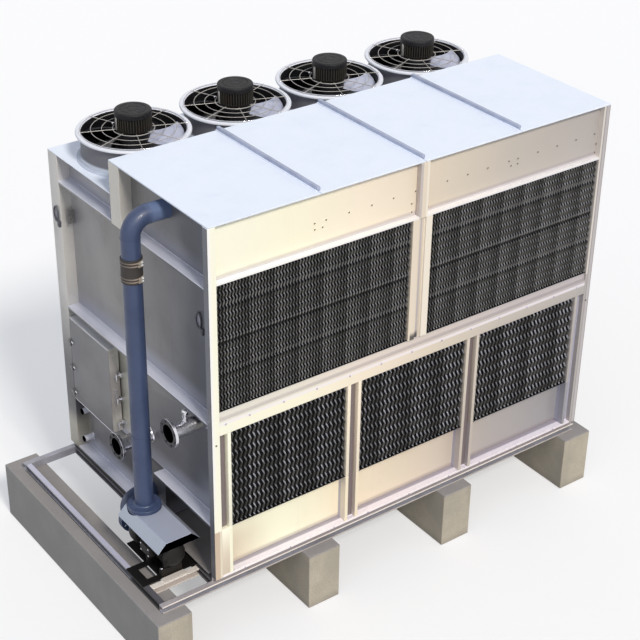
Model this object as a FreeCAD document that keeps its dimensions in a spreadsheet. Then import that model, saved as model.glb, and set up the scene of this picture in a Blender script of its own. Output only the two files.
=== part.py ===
import FreeCAD, Part
import Sketcher
import os
import re

doc = FreeCAD.newDocument("cooling_tower")
sheet = doc.addObject("Spreadsheet::Sheet", "Sizes")

PLINTHS = 4
FANS = 4
ROOF_SHEETS = 4
INLET_MODULES = 3
HINGES = 3
LATCHES = 3
GUARD_RINGS = 4
UPPER_RIBS = 16
LOWER_RIBS = 6

# Driving dimensions in millimetres. Levels named "rise" are measured up from the underside of
# the casing, places named "along" from its left end and places named "back" from its front face.
DRIVING = {
    "plinth_width": 290, "plinth_height": 500, "plinth_end_overhang": 100, "plinth_right_overhang": 112,
    "plinth_front_overhang": 88, "plinth_rear_overhang": 132,
    "skid_height": 63, "skid_width": 50, "skid_web": 8, "skid_flange": 12, "skid_bay": 453,
    "skid_front_inset": 10, "skid_rear_inset": 10, "bay_beam_back": 229, "casing_lift": 37,
    "casing_length": 3660, "casing_depth": 2220, "box_rise": 2917, "deck_drop": 263,
    "sheet": 8, "ledge": 20, "end_recess": 96, "front_recess": 60, "low_recess": 92,
    "post_face": 64, "post_depth": 60, "rear_post_depth": 140, "mid_post": 180, "mid_groove": 60,
    "groove_depth": 16, "joint_strip": 80, "fascia_height": 451, "cut_spare": 1,
    "rail_rise": 1269, "rail_height": 191, "rail_step": 126, "rail_set_back": 16, "screen_set_back": 12,
    "low_along": 128, "low_gap": 70, "low_rise": 440, "strip": 28, "mullion_back": 40,
    "rib_width": 12, "upper_rib_depth": 18, "upper_rib_margin": 54, "lower_rib_depth": 24,
    "lower_rib_margin": 160,
    "upper_seam_drop": 234, "lower_lip_rise": 460, "box_post_depth": 140,
    "bay_depth": 850, "bay_recess": 300,
    "fill_depth": 950, "fill_lift": 30, "fill_split": 30, "fill_side_gap": 210, "fill_top_gap": 6,
    "floor_sheet": 10, "roof_sheet": 12, "roof_joint": 4, "seam_width": 44, "seam_height": 32,
    "seam_front_gap": 30, "door_width": 614, "door_height": 760, "door_foot": 40, "door_head": 80,
    "door_depth": 86, "door_overlap": 40, "door_gap": 6, "hinge_radius": 8, "hinge_length": 60,
    "pin_radius": 4, "pin_gap": 0.3, "hinge_joint": 0.5, "leaf_width": 52, "leaf": 4,
    "hinge_lift": 30, "hinge_pitch": 234, "latch_width": 30, "latch_height": 36, "latch_depth": 26,
    "latch_lift": 70, "latch_pitch": 220, "latch_gap": 14, "grip_lift": 343, "grip_length": 110,
    "grip_width": 34, "grip_depth": 12,
    "fan_side_gap": 39, "fan_end_gap": 52, "fan_gap": 53, "plate": 6, "plate_gap": 2, "stack_height": 214,
    "stack_wall": 10, "rim_lip": 46, "rim_height": 26, "rim_round": 8, "base_ring_height": 42,
    "hub_radius": 120, "hub_height": 120, "hub_drop": 8, "tip_gap": 9, "blade_thickness": 8,
    "blade_chord": 220, "blade_angle": 28, "blade_count": 5, "shaft_radius": 20, "shaft_gap": 0.3,
    "motor_radius": 140, "motor_height": 150, "motor_cap_taper": 18, "motor_cap_height": 24,
    "guard_bar": 8, "motor_seat": 20, "guard_inner": 155, "guard_overlap": 13, "guard_spokes": 8,
    "pump_along": -200, "pump_back": 655, "pump_axis_rise": 175, "pipe_radius": 70,
    "flange_radius": 125, "flange": 24, "flange_rise": 384, "volute_radius": 132, "volute_depth": 120,
    "suction_length": 85, "suction_bend": 190, "motor_front": 220, "pump_motor_radius": 100,
    "motor_cap": 30, "lantern_radius": 78, "lantern_length": 24, "foot_width": 180, "foot_length": 40,
    "terminal_box": 90, "terminal_depth": 140, "base_plate": 12, "base_width": 190, "base_inset": 15,
    "base_length": 560, "cross_plate_back": 288, "cross_plate_depth": 244, "window_along": 70,
    "window_width": 88, "window_margin": 52, "hood_overhang": 50,
    "hood_tail": 95, "hood_rise": 380, "hood_top_width": 220, "hood_side_width": 68,
    "hood_side_drop": 72, "hood_sheet": 4, "hood_gap": 6, "bracket": 40,
    "coupling_drop": 470, "coupling_height": 185, "coupling_wall": 8, "coupling_gap": 12,
    "run_drop": 147, "riser_bend": 140,
    "nozzle_radius": 57, "nozzle_bore": 53.5, "nozzle_reach": 200, "nozzle_flange_radius": 110,
    "nozzle_flange": 22, "bolt_circle": 90, "bolt_hole": 9, "bolt_count": 8,
    "outlet_back": 1045, "outlet_lift": 230, "inlet_back": 260, "inlet_drop": 90,
    "vent_along": -60, "vent_radius": 15, "vent_height": 70, "vent_cap_radius": 22, "vent_cap": 26,
    "port_radius": 24, "port_bore": 20, "port_inset": 80, "port_reach": 80, "drain_rise": 130,
    "overflow_drop": 60, "lug_width": 60, "lug_height": 110, "lug": 12, "lug_hole": 16, "lug_drop": 340,
    "lug_gap": 30,
}
# Values that follow from the driving ones.
DERIVED = {
    "skid_length": "casing_length + skid_bay",
    "plinth_run": "skid_length + plinth_end_overhang + plinth_right_overhang",
    "plinth_pitch": f"(plinth_run - plinth_width) / {PLINTHS - 1}",
    "plinth_length": "casing_depth + plinth_front_overhang + plinth_rear_overhang",
    "left": "-plinth_run / 2 + plinth_end_overhang + skid_bay",
    "right": "left + casing_length",
    "middle": "left + casing_length / 2",
    "front": "-plinth_length / 2 + plinth_front_overhang",
    "rear": "front + casing_depth",
    "skid_top": "plinth_height + skid_height",
    "base": "skid_top + casing_lift",
    "rim_radius": f"(casing_length / {FANS} - fan_gap) / 2",
    "fan_pitch": f"(casing_length - 2 * rim_radius - 2 * fan_end_gap) / {FANS - 1}",
    "box_depth": "casing_depth - 2 * rim_radius - 2 * fan_side_gap",
    "deck_rise": "box_rise - deck_drop",
    "fascia_rise": "box_rise - fascia_height",
    "upper_seam_rise": "deck_rise - upper_seam_drop",
    "door_rise": "lower_lip_rise + door_foot",
    "mid_seam_rise": "door_rise + door_height + door_head",
    "door_back": "casing_depth - rear_post_depth - door_gap - door_width",
    "hinge_rise": "door_rise + hinge_lift",
    "latch_rise": "door_rise + latch_lift",
    "grip_rise": "door_rise + grip_lift",
    "low_width": f"(casing_length - 2 * low_along - {INLET_MODULES - 1} * low_gap) / {INLET_MODULES}",
    "fill_rise": "lower_lip_rise + fill_lift",
    "throat_radius": "rim_radius - rim_lip",
    "motor_cap_radius": "motor_radius - motor_cap_taper",
    "guard_reach": "motor_radius - motor_seat",
    "guard_rim": "throat_radius + guard_overlap",
    "guard_step": f"(guard_rim - guard_inner) / {GUARD_RINGS - 1}",
    "base_front": "motor_front + base_inset",
    "hood_front": "motor_front - hood_overhang",
    "hood_back": "pump_back + hood_tail",
    "run_rise": "box_rise - run_drop",
    "coupling_rise": "run_rise - coupling_drop",
    "outlet_rise": "lower_lip_rise + outlet_lift",
    "inlet_rise": "mid_seam_rise - inlet_drop",
    "port_back": "casing_depth - rear_post_depth - port_inset",
    "overflow_rise": "lower_lip_rise - overflow_drop",
    "lug_rise": "upper_seam_rise - lug_drop",
    "box_rear": "front + box_depth",
    "top": "base + box_rise",
    "roof_under": "top - roof_sheet",
    "deck": "base + deck_rise",
    "upper_seam": "base + upper_seam_rise",
    "skid_left": "left - skid_bay",
    "skid_front": "front + skid_front_inset",
    "skid_rear": "rear - skid_rear_inset",
    "cross_length": "skid_rear - skid_front - 2 * skid_width",
    "wall_front": "front + post_depth",
    "face_depth": "post_depth - sheet",
    "rear_post_y": "rear - rear_post_depth",
    "box_post_y": "box_rear - box_post_depth",
    "end_sheet_x": "left + end_recess",
    "hinge_x": "left - hinge_radius",
    "hinge_y": "rear_post_y - door_gap / 2",
    "fan_back": "(box_rear + rear) / 2",
    "rim_top": "deck + stack_height",
    "pump_x": "left + pump_along",
    "pump_y": "front + pump_back",
    "pump_axis": "base + pump_axis_rise",
    "volute_rear": "pump_y + volute_depth / 2",
    "elbow_y": "volute_rear + suction_length + 2 * flange",
}
row = 0
for alias, value in list(DRIVING.items()) + [(name, "=" + text) for name, text in DERIVED.items()]:
    row += 1
    sheet.set(f"A{row}", alias)
    sheet.set(f"B{row}", str(value))
    sheet.setAlias(f"B{row}", alias)
doc.recompute()

AXES = {"x": FreeCAD.Vector(1, 0, 0), "y": FreeCAD.Vector(0, 1, 0), "z": FreeCAD.Vector(0, 0, 1)}
nodes = []


def bound(text):
    """An expression on the sheet's cells, from plain words."""
    return re.sub(r"\b(?!(?:cos|sin|sqrt)\b)[a-z]\w*", lambda word: "Sizes." + word.group(), str(text))


def value_of(text):
    """The present value of an expression."""
    found = sheet.evalExpression(str(text))
    return float(getattr(found, "Value", found))


def bind(thing, **properties):
    for prop, text in properties.items():
        thing.setExpression(prop, bound(text))


def place(thing, x=0, y=0, z=0):
    for axis, text in (("x", x), ("y", y), ("z", z)):
        thing.setExpression("Placement.Base." + axis, bound(text))
    return thing


def node(name, thing):
    thing.Label = name
    nodes.append(thing)
    return thing


def box(name, x, y, z, length, width, height):
    thing = doc.addObject("Part::Box", name)
    bind(thing, Length=length, Width=width, Height=height)
    return place(thing, x, y, z)


def rod(name, x, y, z, radius, height, axis="z"):
    """A round bar that starts at a point and runs along an axis."""
    thing = doc.addObject("Part::Cylinder", name)
    bind(thing, Radius=radius, Height=height)
    thing.Placement = FreeCAD.Placement(FreeCAD.Vector(), FreeCAD.Rotation(AXES["z"], AXES[axis]))
    return place(thing, x, y, z)


def cut(name, base, tool):
    thing = doc.addObject("Part::Cut", name)
    thing.Base = base
    thing.Tool = tool
    return thing


def fuse(name, shapes):
    thing = doc.addObject("Part::MultiFuse", name)
    thing.Shapes = shapes
    thing.Refine = True
    return thing


def group(name, shapes):
    """Like pieces that don't touch, in one sub-part."""
    thing = doc.addObject("Part::Compound", name)
    thing.Links = shapes
    return thing


def plane_of(body, role):
    return next(item for item in body.Origin.OriginFeatures if item.Role == role)


def sketch_on(body, role, name):
    sketch = body.newObject("Sketcher::SketchObject", name)
    sketch.AttachmentSupport = [(plane_of(body, role), "")]
    sketch.MapMode = "FlatFace"
    return sketch


def outline(body, role, points):
    """A closed sketch whose every corner is bound to the sheet."""
    sketch = sketch_on(body, role, body.Name + "_outline")
    seeds = [FreeCAD.Vector(value_of(u), value_of(v), 0) for u, v in points]
    count = len(points)
    for index in range(count):
        sketch.addGeometry(Part.LineSegment(seeds[index], seeds[(index + 1) % count]), False)
    for index in range(count):
        sketch.addConstraint(Sketcher.Constraint("Coincident", index, 2, (index + 1) % count, 1))
        for kind, text, seed, line in (("DistanceX", points[index][0], seeds[index].x, -2),
                                       ("DistanceY", points[index][1], seeds[index].y, -1)):
            if str(text) == "0":
                sketch.addConstraint(Sketcher.Constraint("PointOnObject", index, 1, line))
            else:
                number = sketch.addConstraint(Sketcher.Constraint(kind, -1, 1, index, 1, seed))
                sketch.setExpression(f"Constraints[{number}]", bound(text))
    return sketch


def circle(sketch, radius, along="0"):
    """A circle on the sketch's first axis, bound to the sheet."""
    centre = FreeCAD.Vector(value_of(along), 0, 0)
    number = sketch.addGeometry(Part.Circle(centre, AXES["z"], value_of(radius)), False)
    sketch.addConstraint(Sketcher.Constraint("PointOnObject", number, 3, -1))
    if along == "0":
        sketch.addConstraint(Sketcher.Constraint("PointOnObject", number, 3, -2))
    else:
        held = sketch.addConstraint(Sketcher.Constraint("DistanceX", -1, 1, number, 3, value_of(along)))
        sketch.setExpression(f"Constraints[{held}]", bound(along))
    held = sketch.addConstraint(Sketcher.Constraint("Radius", number, value_of(radius)))
    sketch.setExpression(f"Constraints[{held}]", bound(radius))


def pad(body, sketch, length, reverse=False):
    feature = body.newObject("PartDesign::Pad", sketch.Name + "_pad")
    feature.Profile = sketch
    feature.Reversed = reverse
    bind(feature, Length=length)
    return feature


def pocket(body, sketch, length):
    """A cut that runs up from the sketch into the solid."""
    feature = body.newObject("PartDesign::Pocket", sketch.Name + "_pocket")
    feature.Profile = sketch
    feature.Reversed = True
    bind(feature, Length=length)
    return feature


def around(body, feature, count):
    """Copies of a feature, evenly spaced about the body's own upright axis."""
    pattern = body.newObject("PartDesign::PolarPattern", feature.Name + "_pattern")
    pattern.Originals = [feature]
    pattern.Axis = (plane_of(body, "Z_Axis"), [""])
    pattern.Angle = 360
    bind(pattern, Occurrences=count)
    body.Tip = pattern
    return pattern


def extruded(name, role, points, length, x=0, y=0, z=0):
    """A straight piece: an outline pushed along +X, +Y or +Z."""
    body = doc.addObject("PartDesign::Body", name)
    pad(body, outline(body, role, points), length, reverse=role == "XZ_Plane")
    return place(body, x, y, z)


def spun(name, points, x=0, y=0, z=0, axis="z"):
    """A turned piece: an outline of radius and height, spun about its own upright axis."""
    body = doc.addObject("PartDesign::Body", name)
    turn = body.newObject("PartDesign::Revolution", name + "_turn")
    sketch = outline(body, "XZ_Plane", points)
    turn.Profile = sketch
    turn.ReferenceAxis = (sketch, ["V_Axis"])
    turn.Angle = 360
    body.Tip = turn
    body.Placement = FreeCAD.Placement(FreeCAD.Vector(), FreeCAD.Rotation(AXES["z"], AXES[axis]))
    return place(body, x, y, z)


def bend(name, radius, x, y, z, turn):
    """A quarter of a pipe bend, from its left side to its far side."""
    thing = doc.addObject("Part::Torus", name)
    bind(thing, Radius1=radius, Radius2="pipe_radius")
    thing.Angle3 = 90
    thing.Placement = FreeCAD.Placement(FreeCAD.Vector(), turn * FreeCAD.Rotation(AXES["z"], 90))
    return place(thing, x, y, z)


def channel(name, role, x, y, length, opens):
    """A rolled channel beam on the plinths, open towards one side."""
    wide, high, web, lip = "skid_width", "skid_height", "skid_web", "skid_flange"
    if opens < 0:
        points = [(0, 0), (wide, 0), (wide, high), (0, high), (0, f"{high} - {lip}"),
                  (f"{wide} - {web}", f"{high} - {lip}"), (f"{wide} - {web}", lip), (0, lip)]
    else:
        points = [(0, 0), (wide, 0), (wide, lip), (web, lip), (web, f"{high} - {lip}"),
                  (wide, f"{high} - {lip}"), (wide, high), (0, high)]
    return extruded(name, role, points, length, x, y, "plinth_height")


def upstand(name, x, y, length, width):
    """A web that stands on a beam and carries the casing above it."""
    return box(name, x, y, "skid_top", length, width, "casing_lift")


def pan(name, side, start, rise, length, height):
    """A recessed wall panel: a sheet set back from the outer face, with a ledge along its foot."""
    back = "front_recess" if side == "rear" else "end_recess"
    sign = {"left": "", "right": "-", "rear": "-"}[side]
    points = [(0, 0), (f"{sign}({back} + sheet)", 0), (f"{sign}({back} + sheet)", height),
              (f"{sign}{back}", height), (f"{sign}{back}", "ledge"), (0, "ledge")]
    if side == "rear":
        return extruded(name, "YZ_Plane", points, length, start, "rear", f"base + {rise}")
    return extruded(name, "XZ_Plane", points, length, side, f"front + {start}", f"base + {rise}")


# Plinths
for index in range(PLINTHS):
    name = f"plinth_{index + 1}"
    start = f"-plinth_run / 2 + {index} * plinth_pitch"
    node(name, box(name, start, "-plinth_length / 2", 0, "plinth_width", "plinth_length", "plinth_height"))

# Skid of channel beams, with upstands under the casing
inner = "skid_front + skid_width"
web_side = "skid_width - skid_web"
node("skid_front_beam", fuse("skid_front_beam", [
    channel("front_channel", "YZ_Plane", "skid_left", "skid_front", "skid_length", -1),
    upstand("front_upstand", "left", f"skid_front + {web_side}", "casing_length", "skid_web")]))
node("skid_rear_beam", fuse("skid_rear_beam", [
    channel("rear_channel", "YZ_Plane", "skid_left", "skid_rear - skid_width", "skid_length", 1),
    upstand("rear_upstand", "left", "skid_rear - skid_width", "casing_length", "skid_web")]))
node("skid_middle_beam", fuse("skid_middle_beam", [
    channel("middle_channel", "XZ_Plane", "left", inner, "cross_length", -1),
    upstand("middle_upstand", f"left + {web_side}", inner, "skid_web", "cross_length")]))
node("skid_right_beam", fuse("skid_right_beam", [
    channel("right_channel", "XZ_Plane", "right - skid_width", inner, "cross_length", 1),
    upstand("right_upstand", "right - skid_width", inner, "skid_web", "cross_length")]))
node("skid_left_beam", channel("skid_left_beam", "XZ_Plane", "skid_left", inner, "cross_length", -1))
node("skid_bay_beam", channel("skid_bay_beam", "YZ_Plane", "skid_left + skid_width",
                              "front + bay_beam_back", "skid_bay - skid_width", -1))

# Posts
fin = "(end_recess + sheet)"
for side, sign in (("left", ""), ("right", "-")):
    name = f"front_{side}_post"
    points = [(0, 0), (f"{sign}post_face", 0), (f"{sign}post_face", "post_depth - sheet"),
              (sign + fin, "post_depth - sheet"), (sign + fin, "post_depth"), (0, "post_depth")]
    node(name, extruded(name, "XY_Plane", points, "box_rise - roof_sheet", side, "front", "base"))
name = "front_middle_post"
shoulder = "(mid_post - mid_groove) / 2"
points = [(0, 0), (shoulder, 0), (shoulder, "groove_depth"), (f"mid_post - {shoulder}", "groove_depth"),
          (f"mid_post - {shoulder}", 0), ("mid_post", 0), ("mid_post", "face_depth"), (0, "face_depth")]
rail_top = "(rail_rise + rail_height)"
node(name, fuse(name, [
    extruded(name + "_shaft", "XY_Plane", points, f"fascia_rise - {rail_top}", "middle - mid_post / 2", "front",
             f"base + {rail_top}"),
    box(name + "_head", "middle - joint_strip / 2", "front", "base + fascia_rise", "joint_strip", "face_depth",
        "box_rise - roof_sheet - fascia_rise")]))
rear_sheet_back = "(front_recess + sheet)"
rear_posts = [("left", "left", fin, "rear_post_depth"),
              ("middle", "middle - mid_post / 2", "mid_post", rear_sheet_back),
              ("right", f"right - {fin}", fin, "rear_post_depth")]
node("rear_posts", group("rear_posts", [
    box(f"rear_{side}_post", start, f"rear - {depth}", "base", width, depth, "deck_rise - plate")
    for side, start, width, depth in rear_posts]))

# Front wall
span = "casing_length - 2 * post_face"
half = "(casing_length - joint_strip) / 2 - post_face"
drop = "fascia_height - roof_sheet"
points = [(0, 0), ("face_depth", 0), ("face_depth", drop), ("face_depth - sheet", drop),
          ("face_depth - sheet", "ledge"), (0, "ledge")]
node("front_fascia", group("front_fascia", [
    extruded(f"fascia_{side}", "YZ_Plane", points, half, start, "front", "base + fascia_rise")
    for side, start in (("left", "left + post_face"), ("right", "middle + joint_strip / 2"))]))
points = [(0, 0), (0, "rail_step"), ("rail_set_back", "rail_step + rail_set_back"),
          ("rail_set_back", "rail_height"), ("face_depth", "rail_height"), ("face_depth", 0)]
node("front_mid_rail", extruded("front_mid_rail", "YZ_Plane", points, span, "left + post_face", "front",
                                "base + rail_rise"))


def ribbed(name, ground, start, width, rise, height, margin, ribs):
    """A screen's ground with its main upright ribs, evenly spaced between two margins."""
    pitch = f"({width} - 2 * {margin} - rib_width) / {ribs - 1}"
    stand = [box(f"{name}_rib_{index + 1}", f"{start} + {margin} + {index} * {pitch}",
                 "front + screen_set_back", f"base + {rise}", "rib_width", "face_depth - screen_set_back",
                 height) for index in range(ribs)]
    return fuse(name, [ground] + stand)


def upper_screen(side, start):
    width, height = "((casing_length - mid_post) / 2 - post_face)", f"fascia_rise - {rail_top}"
    back = "(screen_set_back + upper_rib_depth)"
    ground = box(f"upper_ground_{side}", start, f"front + {back}", f"base + {rail_top}", width,
                 f"face_depth - {back}", height)
    return ribbed(f"upper_screen_{side}", ground, start, width, rail_top, height, "upper_rib_margin",
                  UPPER_RIBS)


node("upper_screens", group("upper_screens", [
    upper_screen("left", "left + post_face"), upper_screen("right", "middle + mid_post / 2")]))
modules = [f"left + low_along + {index} * (low_width + low_gap)" for index in range(INLET_MODULES)]


def tray(name, start, rise, height, recess, depth):
    """One inlet module's front: two side strips, with its face set back between them."""
    points = [(0, 0), ("strip", 0), ("strip", recess), ("low_width - strip", recess), ("low_width - strip", 0),
              ("low_width", 0), ("low_width", depth), (0, depth)]
    return extruded(name, "XY_Plane", points, height, start, "front", f"base + {rise}")


node("lower_screens", group("lower_screens", [
    ribbed(f"lower_screen_{index + 1}",
           tray(f"lower_ground_{index + 1}", start, "low_rise", "rail_rise - low_rise",
                "screen_set_back + lower_rib_depth", "face_depth"),
           start, "low_width", "low_rise", "rail_rise - low_rise", "lower_rib_margin", LOWER_RIBS)
    for index, start in enumerate(modules)]))
node("lower_panels", group("lower_panels", [
    tray(f"lower_panel_{index + 1}", start, "ledge", "low_rise - ledge", "low_recess", "low_recess + sheet")
    for index, start in enumerate(modules)]))
gaps = [("left + post_face", "low_along - post_face")]
gaps += [(f"{start} + low_width", "low_gap") for start in modules[:-1]]
gaps += [(f"{modules[-1]} + low_width", "low_along - post_face")]
sill = [box("front_sill", "left + post_face", "front", "base", span, "face_depth", "ledge"),
        box("sill_back", f"left + {fin}", "front + face_depth", "base", f"casing_length - 2 * {fin}",
            "low_recess + sheet - face_depth", "ledge")]
mullions = [box(f"mullion_{index + 1}", start, "front + mullion_back", "base + ledge", width,
                "face_depth - mullion_back", "rail_rise - ledge") for index, (start, width) in enumerate(gaps)]
node("inlet_frame", fuse("inlet_frame", sill + mullions))
fill_height = "(fascia_rise - fill_top_gap - fill_rise - fill_split) / 2"
fill_levels = [("lower", "base + fill_rise"), ("upper", f"base + fill_rise + {fill_height} + fill_split")]
node("fill_pack", group("fill_pack", [
    box(f"fill_{level}", f"left + {fin} + fill_side_gap", "front + face_depth", start,
        f"casing_length - 2 * {fin} - 2 * fill_side_gap", "fill_depth", fill_height)
    for level, start in fill_levels]))

# Left end wall, with the recess for the pump and the doorway
end_length = "rear_post_y - wall_front"
box_length = "box_post_y - wall_front"
rear_part = "rear_post_y - box_rear"
high = "box_rise - roof_sheet - upper_seam_rise"
low = "deck_rise - plate - upper_seam_rise"


def end_pans(side):
    return [pan(f"{side}_box_pan", side, "post_depth", "upper_seam_rise", box_length, high),
            pan(f"{side}_fan_pan", side, "box_depth", "upper_seam_rise", rear_part, low)]


node("left_upper_panels", group("left_upper_panels", end_pans("left")))
node("left_middle_panel", pan("left_middle_panel", "left", "post_depth", "mid_seam_rise", end_length,
                              "upper_seam_rise - mid_seam_rise"))
door_front = "front + door_back"
doorway = f"{door_front} + door_overlap"
wall = box("left_lower_sheet", "end_sheet_x", "wall_front", "base + lower_lip_rise", "sheet",
           "door_back + door_overlap - post_depth", "mid_seam_rise - lower_lip_rise")
shelf = box("left_lower_shelf", "left", "wall_front", "base + lower_lip_rise", "bay_recess + sheet",
            "bay_depth - post_depth", "ledge")
latches = [box(f"latch_{index + 1}", "end_sheet_x - latch_depth", f"{door_front} - latch_gap - latch_width",
               f"base + latch_rise + {index} * latch_pitch", "latch_depth", "latch_width", "latch_height")
           for index in range(LATCHES)]
holes = [rod(f"{use}_hole", "end_sheet_x - cut_spare", f"front + {use}_back", f"base + {use}_rise",
             "nozzle_bore", "sheet + 2 * cut_spare", "x") for use in ("outlet", "inlet")]
node("left_lower_panel", cut("left_lower_panel", fuse("left_lower_wall", [wall, shelf] + latches),
                             fuse("left_lower_holes", holes)))
node("left_door_header", box("left_door_header", "end_sheet_x", doorway,
                             "base + mid_seam_rise - door_head - door_overlap",
                             "sheet", f"rear_post_y - ({doorway})", "door_head + door_overlap"))
bay_back = "front + bay_depth"
sump_length = f"rear_post_y - ({bay_back})"
sump = box("sump_sheet", "end_sheet_x", bay_back, "base", "sheet", sump_length, "lower_lip_rise")
sump_foot = box("sump_ledge", "left", bay_back, "base", "end_recess", sump_length, "ledge")
sump_side = box("sump_return", "end_sheet_x", bay_back, "base", "bay_recess + sheet - end_recess", "sheet",
                "lower_lip_rise")
threshold = box("threshold", "end_sheet_x", doorway, "base + lower_lip_rise", "sheet",
                f"rear_post_y - ({doorway})", "door_foot + door_overlap")
ports = [rod(f"{use}_port", "end_sheet_x - port_reach", "front + port_back", f"base + {use}_rise",
             "port_radius", "port_reach", "x") for use in ("drain", "overflow")]
bores = [rod(f"{use}_bore", "end_sheet_x - port_reach - cut_spare", "front + port_back", f"base + {use}_rise",
             "port_bore", "port_reach + sheet + 2 * cut_spare", "x") for use in ("drain", "overflow")]
sump_wall = fuse("sump_wall", [sump, sump_foot, sump_side, threshold] + ports)
node("left_sump_panel", cut("left_sump_panel", sump_wall, fuse("sump_bores", bores)))
points = [(0, 0), ("bay_recess + sheet", 0), ("bay_recess + sheet", "lower_lip_rise"),
          ("bay_recess", "lower_lip_rise"), ("bay_recess", "floor_sheet"), (0, "floor_sheet")]
node("pump_recess", extruded("pump_recess", "XZ_Plane", points, "bay_depth - low_recess - sheet", "left",
                             "front + low_recess + sheet", "base"))
floor_back = "rear - front_recess - sheet"
node("sump_floor", fuse("sump_floor", [
    box("floor_main", "left + bay_recess + sheet", "front + low_recess + sheet", "base",
        f"casing_length - bay_recess - sheet - {fin}", f"{floor_back} - front - low_recess - sheet",
        "floor_sheet"),
    box("floor_corner", f"left + {fin}", "front + bay_depth + sheet", "base", f"bay_recess + sheet - {fin}",
        f"{floor_back} - front - bay_depth - sheet", "floor_sheet")]))

# Right end and rear walls
node("right_end_panels", group("right_end_panels", end_pans("right") + [
    pan("right_middle_pan", "right", "post_depth", "mid_seam_rise", end_length,
        "upper_seam_rise - mid_seam_rise"),
    pan("right_lower_pan", "right", "post_depth", "0", end_length, "mid_seam_rise")]))
bay_length = f"(casing_length - mid_post) / 2 - {fin}"
rear_pans = []
for column, start in (("left", f"left + {fin}"), ("right", "middle + mid_post / 2")):
    for level, rise, height in (("lower", "0", "mid_seam_rise"),
                                ("upper", "mid_seam_rise", "deck_rise - plate - mid_seam_rise")):
        rear_pans.append(pan(f"rear_{level}_{column}_pan", "rear", start, rise, bay_length, height))
node("rear_panels", group("rear_panels", rear_pans))

# Raised box over the inlet side: its back wall and its roof
back_posts = [box(f"box_{side}_post", start, "box_post_y", "upper_seam", fin, "box_post_depth",
                  "roof_under - upper_seam") for side, start in (("left", "left"), ("right", f"right - {fin}"))]
back_sheet = box("box_back_sheet", f"left + {fin}", "box_rear - sheet", "upper_seam",
                 f"casing_length - 2 * {fin}", "sheet", "roof_under - upper_seam")
node("box_back_wall", fuse("box_back_wall", back_posts + [back_sheet]))
roof_pitch = f"casing_length / {ROOF_SHEETS}"
node("roof_sheets", group("roof_sheets", [
    box(f"roof_sheet_{index + 1}", f"left + {index} * {roof_pitch} + roof_joint / 2", "front", "roof_under",
        f"{roof_pitch} - roof_joint", "box_depth", "roof_sheet") for index in range(ROOF_SHEETS)]))
node("roof_seams", group("roof_seams", [
    box(f"roof_seam_{index}", f"left + {index} * {roof_pitch} - seam_width / 2", "front + seam_front_gap", "top",
        "seam_width", "box_depth - seam_front_gap", "seam_height") for index in range(1, ROOF_SHEETS)]))

# Fans
deck_pitch = f"casing_length / {FANS}"
guards = []
for index in range(FANS):
    tag = str(index + 1)
    centre = f"left + fan_end_gap + rim_radius + {index} * fan_pitch"
    where = {"x": centre, "y": "fan_back"}
    ring = spun(f"stack_ring_{tag}", [
        ("throat_radius", 0), ("rim_radius", 0), ("rim_radius", "base_ring_height"),
        ("throat_radius + stack_wall", "base_ring_height + stack_wall"),
        ("throat_radius + stack_wall", "stack_height - rim_height - stack_wall"),
        ("rim_radius", "stack_height - rim_height"), ("rim_radius", "stack_height - rim_round"),
        ("rim_radius - rim_round", "stack_height"), ("throat_radius", "stack_height")], z="deck", **where)
    deck_plate = box(f"deck_plate_{tag}", f"left + {index} * {deck_pitch} + plate_gap / 2", "box_rear",
                     "deck - plate", f"{deck_pitch} - plate_gap", "rear - box_rear", "plate")
    throat = rod(f"throat_{tag}", centre, "fan_back", "deck - plate - cut_spare", "throat_radius",
                 "plate + 2 * cut_spare")
    node(f"fan_stack_{tag}", fuse(f"fan_stack_{tag}", [ring, cut(f"deck_cut_{tag}", deck_plate, throat)]))

    guard = doc.addObject("PartDesign::Body", f"guard_{tag}")
    rings = sketch_on(guard, "XY_Plane", f"guard_rings_{tag}")
    for ring_index in range(GUARD_RINGS):
        circle(rings, f"guard_inner + {ring_index} * guard_step + guard_bar / 2")
        circle(rings, f"guard_inner + {ring_index} * guard_step - guard_bar / 2")
    spoke = outline(guard, "XY_Plane", [
        ("guard_reach", "-guard_bar / 2"), ("guard_rim", "-guard_bar / 2"), ("guard_rim", "guard_bar / 2"),
        ("guard_reach", "guard_bar / 2")])
    around(guard, pad(guard, spoke, "guard_bar"), "guard_spokes")
    pad(guard, rings, "guard_bar")
    guards.append(place(guard, z="rim_top", **where))

    reach = "(guard_bar + hub_drop + hub_height)"
    node(f"fan_motor_{tag}", spun(f"fan_motor_{tag}", [
        (0, f"-{reach}"), ("shaft_radius", f"-{reach}"), ("shaft_radius", 0), ("motor_radius", 0),
        ("motor_radius", "motor_height - motor_cap_height"), ("motor_cap_radius", "motor_height"),
        (0, "motor_height")], z="rim_top + guard_bar", **where))

    impeller = doc.addObject("PartDesign::Body", f"fan_impeller_{tag}")
    hub = sketch_on(impeller, "XY_Plane", f"hub_{tag}")
    circle(hub, "hub_radius")
    pad(impeller, hub, "hub_height")
    run = "blade_chord / 2 * cos(blade_angle)"
    climb = "blade_chord / 2 * sin(blade_angle)"
    thick = "blade_thickness / 2"
    blade = outline(impeller, "YZ_Plane", [
        (f"-{run}", f"hub_height / 2 + {climb} - {thick}"), (run, f"hub_height / 2 - {climb} - {thick}"),
        (run, f"hub_height / 2 - {climb} + {thick}"), (f"-{run}", f"hub_height / 2 + {climb} + {thick}")])
    tip = "sqrt((throat_radius - tip_gap) * (throat_radius - tip_gap) - blade_chord * blade_chord / 4)"
    around(impeller, pad(impeller, blade, tip), "blade_count")
    bore = sketch_on(impeller, "XY_Plane", f"hub_bore_{tag}")
    circle(bore, "shaft_radius + shaft_gap")
    pocket(impeller, bore, "hub_height")
    node(f"fan_impeller_{tag}", place(impeller, z="rim_top - hub_drop - hub_height", **where))
node("fan_guards", group("fan_guards", guards))

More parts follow.
